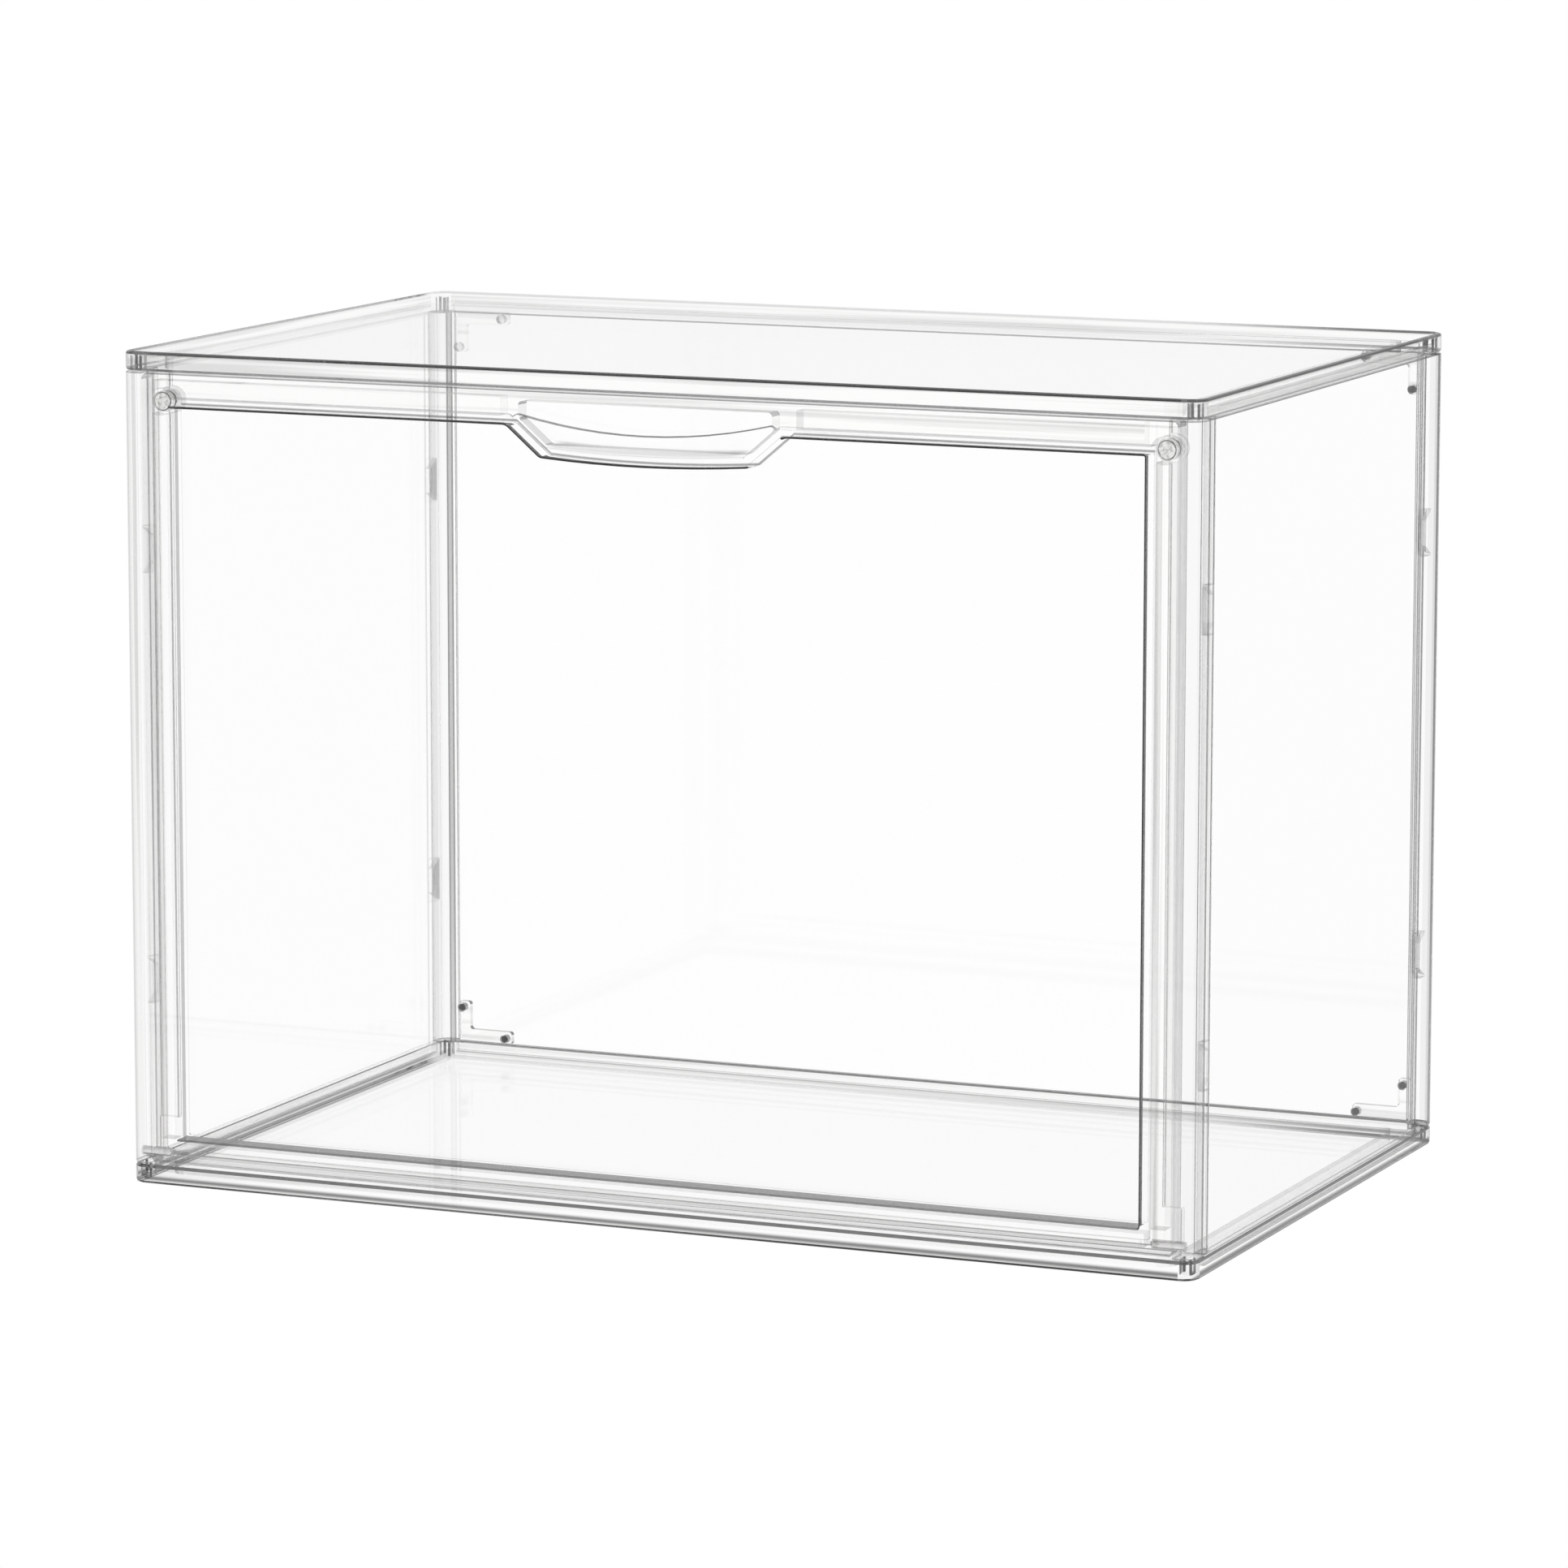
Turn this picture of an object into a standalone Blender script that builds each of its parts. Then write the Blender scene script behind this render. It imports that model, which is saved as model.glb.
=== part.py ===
"""Clear display case with a drop-front door, as the pieces that it comes apart into.

Metres, +Z up. The origin is the middle of the underside, +X is the right-hand side seen from
the front, and the door faces -Y. Two shallow trays close the case above and below. Between
them stand two side panels, a back panel and two front posts, which clip into each other. The
door turns on two pins near its lower corners and is held shut by two pairs of magnets.
"""

import math

import bpy
import bmesh

# Whole case
CASE_WIDTH = 0.350
CASE_DEPTH = 0.220
CASE_HEIGHT = 0.258
CORNER_ROUND = 0.0050
SEAT_GAP = 0.0003
OVERRUN = 0.0010

# Trays that close the case above and below
TRAY_SHEET = 0.0020
RIM_HEIGHT = 0.0060
RIM_SIDE = 0.0095
RIM_FRONT = 0.0075
RIM_REAR = 0.0110
RIM_INNER_ROUND = 0.0050
TRAY_EDGE_ROUND = 0.0009
GROOVE_DEPTH = 0.0030
GROOVE_PLAY = 0.0003

# Uprights and the sheets between them
POST_WIDTH = 0.0070
REAR_RAIL_DEPTH = 0.0075
WALL_SHEET = 0.0022
TONGUE_INSET = 0.0003
TONGUE_THICKNESS = 0.0011
RAIL_THICKNESS = 0.0040
RAIL_WIDTH = 0.0070
BACK_SHEET = 0.0020
BACK_SHEET_INSET = 0.0024
UPRIGHT_EDGE_ROUND = 0.0004

# Square pegs on the ends of the uprights
PEG_SIDE = 0.0034
PEG_HEIGHT = 0.0042
PEG_ROUND = 0.0006
PEG_FROM_INNER = 0.0032

# Clips between an upright and a side panel
CLIP_HEIGHT = 0.0140
CLIP_LENGTH = 0.0052
CLIP_THICKNESS = 0.0016
CLIP_RAMP = 0.0030
CLIP_FROM_MIDDLE = 0.0670
CLIP_SKIN = 0.0011

# Stop lip behind the door
LIP_REACH = 0.0060
LIP_THICKNESS = 0.0022
LIP_START = 0.0200

# Door
DOOR_THICKNESS = RIM_FRONT
DOOR_PLAY = 0.00035
DOOR_CORNER_ROUND = 0.0020
DOOR_FOOT_ROUND = 0.0032
DOOR_RIM_SIDE = 0.0097
DOOR_RIM_TOP = 0.0105
DOOR_RIM_BOTTOM = 0.0088
DOOR_WALL = 0.0024
DOOR_WEB = 0.0020
WINDOW_SHEET = 0.0018
WINDOW_RECESS = 0.0050
WINDOW_CORNER_ROUND = 0.0004
BEAD_WIDTH = 0.0035
BEAD_RISE = 0.0014
BEAD_CORNER_ROUND = 0.0010
BEAD_SEAT = 0.0008
BEAD_EDGE_ROUND = 0.0006

# Finger pull at the door's upper edge
PULL_TOP_WIDTH = 0.0900
PULL_FOOT_WIDTH = 0.0675
PULL_DROP = 0.0095
PULL_SAG = 0.0013
PULL_ROUND = 0.0030
SCOOP_WIDTH = 0.0825
SCOOP_RISE = 0.0037
SCOOP_SAG = 0.0050
LIP_PLATE = 0.0018
POCKET_BACK = 0.0016
POCKET_CEILING = 0.0032
POCKET_LEDGE = 0.0004
POCKET_ROUND = 0.0012
PULL_BLOCK_MARGIN = 0.0030

# Hinge
PIN_RADIUS = 0.00125
PIN_LENGTH = 0.0100
PIN_IN_POST = 0.0034
PIN_CHAMFER = 0.0003
PIN_PLAY = 0.0002
PIN_SET_BACK = 0.0023
PIN_ABOVE_RIM = 0.0041
HINGE_BLOCK_WIDTH = 0.0090
HINGE_BLOCK_HEIGHT = 0.0080

# Magnets
MAGNET_RADIUS = 0.0030
MAGNET_THICKNESS = 0.0030
MAGNET_CHAMFER = 0.0003
MAGNET_PLAY = 0.0002
MAGNET_BOSS_RADIUS = 0.0042
MAGNET_BELOW_DOOR_TOP = 0.0090
MAGNET_SEAT_DEPTH = 0.0002
BOSS_LENGTH = 0.0042
BOSS_SET_BACK = 0.0001

# L-shaped keys in the corners behind the back sheet
KEY_WIDTH = 0.0042
KEY_THICKNESS = 0.0019
KEY_ACROSS = 0.0195
KEY_UPRIGHT = 0.0136
KEY_ROUND = 0.0010
KEY_PEG_RADIUS = 0.0012
KEY_PEG_LENGTH = 0.0015
KEY_PEG_FROM_END = 0.0018

# Facets, and the turns that count as flat or as an edge
ARC_STEPS = 4
ROUND_FACETS = 32
EDGE_STEPS = 2
FLAT_TURN = math.radians(0.5)
EDGE_TURN = math.radians(40)
MERGE_DISTANCE = 0.000003

# Places that follow from the sizes above
HALF_WIDTH = CASE_WIDTH / 2
FRONT = -CASE_DEPTH / 2
REAR = CASE_DEPTH / 2
WALL_LOW = RIM_HEIGHT + SEAT_GAP
WALL_HIGH = CASE_HEIGHT - WALL_LOW
MIDDLE_HEIGHT = CASE_HEIGHT / 2
POST_INNER = HALF_WIDTH - POST_WIDTH
DOOR_REAR = FRONT + DOOR_THICKNESS
LIP_FRONT = DOOR_REAR + SEAT_GAP
POST_REAR = LIP_FRONT + LIP_THICKNESS
RAIL_FRONT = REAR - REAR_RAIL_DEPTH
PANEL_FRONT = POST_REAR + SEAT_GAP
PANEL_REAR = RAIL_FRONT - SEAT_GAP
TONGUE_DROP = GROOVE_DEPTH - SEAT_GAP
BACK_SHEET_REAR = REAR - BACK_SHEET_INSET
BACK_SHEET_FRONT = BACK_SHEET_REAR - BACK_SHEET
BACK_TONGUE_FRONT = BACK_SHEET_FRONT + TONGUE_INSET
BACK_TONGUE_REAR = BACK_SHEET_REAR - TONGUE_INSET
TONGUE_INNER = HALF_WIDTH - WALL_SHEET + TONGUE_INSET
PEG_X = POST_INNER + PEG_FROM_INNER
FRONT_PEG_Y = (FRONT + POST_REAR) / 2
REAR_PEG_Y = RAIL_FRONT + PEG_FROM_INNER
CLIP_X = HALF_WIDTH - CLIP_SKIN - GROOVE_PLAY - CLIP_THICKNESS / 2
CLIP_HEIGHTS = (MIDDLE_HEIGHT - CLIP_FROM_MIDDLE, MIDDLE_HEIGHT + CLIP_FROM_MIDDLE)

DOOR_HALF = POST_INNER - DOOR_PLAY
DOOR_LOW = RIM_HEIGHT + DOOR_PLAY
DOOR_HIGH = CASE_HEIGHT - RIM_HEIGHT - DOOR_PLAY
BEAD_FRONT = FRONT - BEAD_RISE
WINDOW_HALF = DOOR_HALF - DOOR_RIM_SIDE
WINDOW_LOW = DOOR_LOW + DOOR_RIM_BOTTOM
WINDOW_HIGH = DOOR_HIGH - DOOR_RIM_TOP
WINDOW_FRONT = FRONT + WINDOW_RECESS
WINDOW_REAR = WINDOW_FRONT + WINDOW_SHEET
PULL_FOOT = WINDOW_HIGH - PULL_DROP
POCKET_TOP = DOOR_HIGH - POCKET_CEILING
POCKET_FLOOR = DOOR_REAR - POCKET_BACK

LIP_INNER = POST_INNER - LIP_REACH

HINGE_Y = FRONT + PIN_SET_BACK
HINGE_Z = RIM_HEIGHT + PIN_ABOVE_RIM
PIN_OUTER = POST_INNER + PIN_IN_POST
PIN_INNER = PIN_OUTER - PIN_LENGTH

MAGNET_X = DOOR_HALF - DOOR_RIM_SIDE / 2
MAGNET_Z = DOOR_HIGH - MAGNET_BELOW_DOOR_TOP
DOOR_MAGNET_REAR = DOOR_REAR - MAGNET_SEAT_DEPTH
FRAME_MAGNET_FRONT = LIP_FRONT + MAGNET_SEAT_DEPTH

KEY_FRONT = BACK_SHEET_REAR + SEAT_GAP

# Sides of the case, as the sign of X
SIDES = (("left", -1), ("right", 1))
LEVELS = (("lower", 1), ("upper", -1))

# Colours and roughness
CLEAR_COLOUR = (0.96, 0.97, 0.97, 1.0)
CLEAR_ROUGHNESS = 0.03
STEEL_COLOUR = (0.62, 0.62, 0.63, 1.0)
STEEL_ROUGHNESS = 0.22
NICKEL_COLOUR = (0.74, 0.74, 0.75, 1.0)
NICKEL_ROUGHNESS = 0.25


def clear_scene():
    """Removes every object, so that the case is all that is left."""
    for obj in list(bpy.data.objects):
        bpy.data.objects.remove(obj, do_unlink=True)


def new_collection(name):
    made = bpy.data.collections.new(name)
    bpy.context.scene.collection.children.link(made)
    return made


def material(name, colour, roughness, metallic=0.0, transmission=0.0):
    made = bpy.data.materials.new(name)
    made.use_nodes = True
    shader = made.node_tree.nodes["Principled BSDF"]
    shader.inputs["Base Color"].default_value = colour
    shader.inputs["Roughness"].default_value = roughness
    shader.inputs["Metallic"].default_value = metallic
    shader.inputs["Transmission Weight"].default_value = transmission
    made.diffuse_color = colour
    return made


# Outlines, as lists of points in a plane


def rectangle(low, high):
    """The four corners of a rectangle, counter-clockwise."""
    return [low, (high[0], low[1]), high, (low[0], high[1])]


def rounded(points, radii):
    """The outline with each corner replaced by an arc of its radius, or kept where that is zero."""
    made = []
    count = len(points)
    for i, (x, y) in enumerate(points):
        radius = radii[i] if isinstance(radii, (list, tuple)) else radii
        if not radius:
            made.append((x, y))
            continue
        before, after = points[i - 1], points[(i + 1) % count]
        to_before = math.atan2(before[1] - y, before[0] - x)
        to_after = math.atan2(after[1] - y, after[0] - x)
        turn = math.remainder(to_after - to_before, math.tau)
        reach = radius / math.tan(abs(turn) / 2)
        middle = to_before + turn / 2
        from_corner = radius / math.sin(abs(turn) / 2)
        centre = (x + from_corner * math.cos(middle), y + from_corner * math.sin(middle))
        start = (x + reach * math.cos(to_before), y + reach * math.sin(to_before))
        end = (x + reach * math.cos(to_after), y + reach * math.sin(to_after))
        first = math.atan2(start[1] - centre[1], start[0] - centre[0])
        last = math.atan2(end[1] - centre[1], end[0] - centre[0])
        sweep = math.remainder(last - first, math.tau)
        for step in range(ARC_STEPS + 1):
            angle = first + sweep * step / ARC_STEPS
            made.append((centre[0] + radius * math.cos(angle), centre[1] + radius * math.sin(angle)))
    return made


def grown(points, distance):
    """The counter-clockwise outline moved outwards by a distance, corners kept sharp."""
    made = []
    count = len(points)
    for i, (x, y) in enumerate(points):
        before, after = points[i - 1], points[(i + 1) % count]
        one = math.atan2(y - before[1], x - before[0])
        two = math.atan2(after[1] - y, after[0] - x)
        half = math.remainder(two - one, math.tau) / 2
        out = one + half - math.pi / 2
        reach = distance / math.cos(half)
        made.append((x + reach * math.cos(out), y + reach * math.sin(out)))
    return made


def sagging(left, right, sag, steps=2 * ARC_STEPS):
    """Points from left to right along a shallow curve that hangs down by sag, ends included."""
    made = []
    for step in range(steps + 1):
        share = step / steps
        x = left[0] + (right[0] - left[0]) * share
        y = left[1] + (right[1] - left[1]) * share
        made.append((x, y - sag * 4 * share * (1 - share)))
    return made


# Solids


def into(collection, name, mesh):
    obj = bpy.data.objects.new(name, mesh)
    collection.objects.link(obj)
    return obj


def extruded(name, collection, along, outlines, low, high):
    """A solid with these outlines, the first one outside and the rest as holes, from low to high.

    Along X the outline's axes are Y and Z, along Y they are X and Z, and along Z they are X and Y.
    """
    flat = bpy.data.curves.new(name, "CURVE")
    flat.dimensions = "2D"
    flat.fill_mode = "BOTH"
    flat.extrude = (high - low) / 2
    for outline in outlines:
        spline = flat.splines.new("POLY")
        spline.points.add(len(outline) - 1)
        for point, (x, y) in zip(spline.points, outline):
            point.co = (x, y, 0, 1)
        spline.use_cyclic_u = True
    holder = into(collection, name + "_outline", flat)
    bpy.context.view_layer.update()
    graph = bpy.context.evaluated_depsgraph_get()
    mesh = bpy.data.meshes.new_from_object(holder.evaluated_get(graph))
    bpy.data.objects.remove(holder, do_unlink=True)
    bpy.data.curves.remove(flat)
    mesh.name = name
    middle = (high + low) / 2
    shape = bmesh.new()
    shape.from_mesh(mesh)
    for point in shape.verts:
        x, y, z = point.co
        if along == "X":
            point.co = (z + middle, x, y)
        elif along == "Y":
            point.co = (x, middle - z, y)
        else:
            point.co = (x, y, z + middle)
    shape.normal_update()
    bmesh.ops.remove_doubles(shape, verts=shape.verts, dist=MERGE_DISTANCE)
    bmesh.ops.dissolve_limit(shape, angle_limit=FLAT_TURN, verts=shape.verts, edges=shape.edges)
    bmesh.ops.recalc_face_normals(shape, faces=shape.faces)
    if shape.calc_volume(signed=True) < 0:
        bmesh.ops.reverse_faces(shape, faces=shape.faces)
    shape.to_mesh(mesh)
    shape.free()
    return into(collection, name, mesh)


def box(name, collection, one, other):
    """A box between two opposite corners, given in any order."""
    low = [min(pair) for pair in zip(one, other)]
    high = [max(pair) for pair in zip(one, other)]
    shape = bmesh.new()
    bmesh.ops.create_cube(shape, size=1)
    for point in shape.verts:
        point.co = [(a + b) / 2 + (b - a) * c for a, b, c in zip(low, high, point.co)]
    mesh = bpy.data.meshes.new(name)
    shape.to_mesh(mesh)
    shape.free()
    return into(collection, name, mesh)


def rod(name, collection, along, centre, radius, low, high, chamfer=0.0):
    """A round bar along X or Y between low and high, with its centre given in the other two axes."""
    shape = bmesh.new()
    bmesh.ops.create_cone(
        shape, cap_ends=True, segments=ROUND_FACETS, radius1=radius, radius2=radius, depth=high - low
    )
    middle = (high + low) / 2
    for point in shape.verts:
        x, y, z = point.co
        if along == "X":
            point.co = (z + middle, centre[0] + x, centre[1] + y)
        else:
            point.co = (centre[0] + x, middle - z, centre[1] + y)
    shape.normal_update()
    if chamfer:
        ends = [edge for edge in shape.edges if any(len(face.verts) > 4 for face in edge.link_faces)]
        bmesh.ops.bevel(shape, geom=ends, offset=chamfer, segments=1, affect="EDGES")
    mesh = bpy.data.meshes.new(name)
    shape.to_mesh(mesh)
    shape.free()
    mesh.shade_smooth()
    mesh.set_sharp_from_angle(angle=EDGE_TURN)
    return into(collection, name, mesh)


def soften(obj, width, clamp=True):
    """Rounds every edge that turns by more than the limit, less widely where it is short if clamped."""
    bevel = obj.modifiers.new("soft_edges", "BEVEL")
    bevel.width = width
    bevel.segments = EDGE_STEPS
    bevel.limit_method = "ANGLE"
    bevel.angle_limit = EDGE_TURN
    bevel.use_clamp_overlap = clamp


def combine(obj, other, operation):
    """Adds a Boolean, and turns the other object into a hidden helper."""
    step = obj.modifiers.new(operation.lower() + "_" + other.name, "BOOLEAN")
    step.operation = operation
    step.object = other
    step.solver = "EXACT"
    other.hide_render = True
    other.display_type = "WIRE"


def finished(obj, finish):
    """Gives a piece its finish, and hands it back."""
    obj.data.materials.clear()
    obj.data.materials.append(finish)
    return obj


def at_level(height, sign):
    """A height counted from the underside, or from the top for an upper piece."""
    return height if sign > 0 else CASE_HEIGHT - height


def tray(name, parts, helpers, finish, sign):
    """Base or top: a sheet with a rim, grooves for the three walls and a socket in each corner."""
    plan = rounded(rectangle((-HALF_WIDTH, FRONT), (HALF_WIDTH, REAR)), CORNER_ROUND)
    low, high = sorted((at_level(0, sign), at_level(RIM_HEIGHT, sign)))
    body = extruded(name, parts, "Z", [plan], low, high)
    soften(body, TRAY_EDGE_ROUND)
    inside = rounded(
        rectangle(
            (-HALF_WIDTH + RIM_SIDE, FRONT + RIM_FRONT), (HALF_WIDTH - RIM_SIDE, REAR - RIM_REAR)
        ),
        RIM_INNER_ROUND,
    )
    low, high = sorted((at_level(TRAY_SHEET, sign), at_level(RIM_HEIGHT + OVERRUN, sign)))
    combine(body, extruded(name + "_hollow", helpers, "Z", [inside], low, high), "DIFFERENCE")
    floor = at_level(RIM_HEIGHT - GROOVE_DEPTH, sign)
    mouth = at_level(RIM_HEIGHT + OVERRUN, sign)
    for side, x_sign in SIDES:
        inner = TONGUE_INNER - GROOVE_PLAY
        outer = TONGUE_INNER + TONGUE_THICKNESS + GROOVE_PLAY
        groove = box(
            f"{name}_groove_{side}",
            helpers,
            (x_sign * inner, PANEL_FRONT, floor),
            (x_sign * outer, PANEL_REAR, mouth),
        )
        combine(body, groove, "DIFFERENCE")
        for place, y in (("front", FRONT_PEG_Y), ("rear", REAR_PEG_Y)):
            half = PEG_SIDE / 2 + GROOVE_PLAY
            centre = x_sign * PEG_X
            socket = extruded(
                f"{name}_socket_{place}_{side}",
                helpers,
                "Z",
                [rounded(rectangle((centre - half, y - half), (centre + half, y + half)), PEG_ROUND)],
                *sorted((at_level(RIM_HEIGHT - PEG_HEIGHT - SEAT_GAP, sign), mouth)),
            )
            combine(body, socket, "DIFFERENCE")
    rear_groove = box(
        name + "_groove_rear",
        helpers,
        (SEAT_GAP - POST_INNER, BACK_TONGUE_FRONT - GROOVE_PLAY, floor),
        (POST_INNER - SEAT_GAP, BACK_TONGUE_REAR + GROOVE_PLAY, mouth),
    )
    combine(body, rear_groove, "DIFFERENCE")
    return finished(body, finish)


def side_panel(name, parts, helpers, finish, sign):
    """A sheet with a rail along each upright edge, slots for the clips and a tongue above and below."""
    inner = HALF_WIDTH - WALL_SHEET
    rail = HALF_WIDTH - RAIL_THICKNESS
    sheet_front = PANEL_FRONT + RAIL_WIDTH
    sheet_rear = PANEL_REAR - RAIL_WIDTH
    plan = [
        (sign * HALF_WIDTH, PANEL_FRONT),
        (sign * HALF_WIDTH, PANEL_REAR),
        (sign * rail, PANEL_REAR),
        (sign * rail, sheet_rear),
        (sign * inner, sheet_rear),
        (sign * inner, sheet_front),
        (sign * rail, sheet_front),
        (sign * rail, PANEL_FRONT),
    ]
    body = extruded(name, parts, "Z", [plan], WALL_LOW, WALL_HIGH)
    soften(body, UPRIGHT_EDGE_ROUND)
    for (level, level_sign), height in zip(LEVELS, CLIP_HEIGHTS):
        tongue = box(
            f"{name}_tongue_{level}",
            helpers,
            (sign * TONGUE_INNER, sheet_front, at_level(WALL_LOW - TONGUE_DROP, level_sign)),
            (
                sign * (TONGUE_INNER + TONGUE_THICKNESS),
                sheet_rear,
                at_level(WALL_LOW + OVERRUN, level_sign),
            ),
        )
        combine(body, tongue, "UNION")
        for place, face, depth_sign in (("front", POST_REAR, 1), ("rear", RAIL_FRONT, -1)):
            half_height = CLIP_HEIGHT / 2 + GROOVE_PLAY
            half_width = CLIP_THICKNESS / 2 + GROOVE_PLAY
            slot = box(
                f"{name}_slot_{place}_{level}",
                helpers,
                (
                    sign * (CLIP_X - half_width),
                    face - depth_sign * OVERRUN,
                    height - half_height,
                ),
                (
                    sign * (CLIP_X + half_width),
                    face + depth_sign * (CLIP_LENGTH + GROOVE_PLAY),
                    height + half_height,
                ),
            )
            combine(body, slot, "DIFFERENCE")
    return finished(body, finish)


def add_clip(body, helpers, name, sign, root, tip, height):
    """A flat tongue whose upper and lower ends slope, so that it finds its slot."""
    direction = 1 if tip > root else -1
    buried = root - direction * OVERRUN
    half = CLIP_HEIGHT / 2
    slope = half - CLIP_RAMP
    profile = [
        (buried, height - half),
        (root, height - half),
        (tip, height - slope),
        (tip, height + slope),
        (root, height + half),
        (buried, height + half),
    ]
    low, high = sorted((sign * (CLIP_X - CLIP_THICKNESS / 2), sign * (CLIP_X + CLIP_THICKNESS / 2)))
    combine(body, extruded(name, helpers, "X", [profile], low, high), "UNION")


def add_pegs(body, helpers, name, sign, y):
    """A square peg above and below an upright, for the sockets in the trays."""
    half = PEG_SIDE / 2
    centre = sign * PEG_X
    outline = rounded(rectangle((centre - half, y - half), (centre + half, y + half)), PEG_ROUND)
    for level, level_sign in LEVELS:
        low, high = sorted(
            (
                at_level(RIM_HEIGHT - PEG_HEIGHT, level_sign),
                at_level(WALL_LOW + OVERRUN, level_sign),
            )
        )
        combine(body, extruded(f"{name}_peg_{level}", helpers, "Z", [outline], low, high), "UNION")


def back_panel(name, parts, helpers, finish):
    """A sheet between two upright rails, with tongues, pegs, clips and the holes for the keys."""
    plan = rounded(
        [
            (-HALF_WIDTH, RAIL_FRONT),
            (-POST_INNER, RAIL_FRONT),
            (-POST_INNER, BACK_SHEET_FRONT),
            (POST_INNER, BACK_SHEET_FRONT),
            (POST_INNER, RAIL_FRONT),
            (HALF_WIDTH, RAIL_FRONT),
            (HALF_WIDTH, REAR),
            (POST_INNER, REAR),
            (POST_INNER, BACK_SHEET_REAR),
            (-POST_INNER, BACK_SHEET_REAR),
            (-POST_INNER, REAR),
            (-HALF_WIDTH, REAR),
        ],
        [0, 0, 0, 0, 0, 0, CORNER_ROUND, 0, 0, 0, 0, CORNER_ROUND],
    )
    body = extruded(name, parts, "Z", [plan], WALL_LOW, WALL_HIGH)
    soften(body, UPRIGHT_EDGE_ROUND)
    tongue_half = POST_INNER - 2 * SEAT_GAP
    for level, level_sign in LEVELS:
        tongue = box(
            f"{name}_tongue_{level}",
            helpers,
            (-tongue_half, BACK_TONGUE_FRONT, at_level(WALL_LOW - TONGUE_DROP, level_sign)),
            (tongue_half, BACK_TONGUE_REAR, at_level(WALL_LOW + OVERRUN, level_sign)),
        )
        combine(body, tongue, "UNION")
    for side, sign in SIDES:
        add_pegs(body, helpers, f"{name}_{side}", sign, REAR_PEG_Y)
        for i, height in enumerate(CLIP_HEIGHTS):
            clip_name = f"{name}_clip_{side}_{i}"
            add_clip(body, helpers, clip_name, sign, RAIL_FRONT, RAIL_FRONT - CLIP_LENGTH, height)
        for level, level_sign in LEVELS:
            for i, (x, z) in enumerate(key_peg_places(sign, level_sign)):
                hole = rod(
                    f"{name}_hole_{side}_{level}_{i}",
                    helpers,
                    "Y",
                    (x, z),
                    KEY_PEG_RADIUS + GROOVE_PLAY,
                    BACK_SHEET_FRONT - OVERRUN,
                    BACK_SHEET_REAR + OVERRUN,
                )
                combine(body, hole, "DIFFERENCE")
    return finished(body, finish)


def key_corner(sign, level_sign):
    """The corner where a key's two arms meet, in X and Z."""
    return sign * (POST_INNER - SEAT_GAP), at_level(RIM_HEIGHT + SEAT_GAP, level_sign)


def key_peg_places(sign, level_sign):
    """The middles of a key's pegs: at the end of its level arm, and of its upright arm."""
    x, z = key_corner(sign, level_sign)
    half = KEY_WIDTH / 2
    return (
        (x - sign * (KEY_ACROSS - KEY_PEG_FROM_END), z + level_sign * half),
        (x - sign * half, z + level_sign * (KEY_UPRIGHT - KEY_PEG_FROM_END)),
    )


def corner_key(name, parts, helpers, finish, sign, level_sign):
    """An L-shaped plate in a rear corner, held by two pegs that go forwards into the back sheet."""
    x, z = key_corner(sign, level_sign)
    outline = [
        (x, z),
        (x, z + level_sign * KEY_UPRIGHT),
        (x - sign * KEY_WIDTH, z + level_sign * KEY_UPRIGHT),
        (x - sign * KEY_WIDTH, z + level_sign * KEY_WIDTH),
        (x - sign * KEY_ACROSS, z + level_sign * KEY_WIDTH),
        (x - sign * KEY_ACROSS, z),
    ]
    plate = rounded(outline, [0, KEY_ROUND, KEY_ROUND, KEY_ROUND, KEY_ROUND, KEY_ROUND])
    body = extruded(name, parts, "Y", [plate], KEY_FRONT, KEY_FRONT + KEY_THICKNESS)
    for i, place in enumerate(key_peg_places(sign, level_sign)):
        peg_end = BACK_SHEET_REAR - KEY_PEG_LENGTH
        peg = rod(f"{name}_peg_{i}", helpers, "Y", place, KEY_PEG_RADIUS, peg_end, KEY_FRONT + OVERRUN)
        combine(body, peg, "UNION")
    return finished(body, finish)


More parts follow.
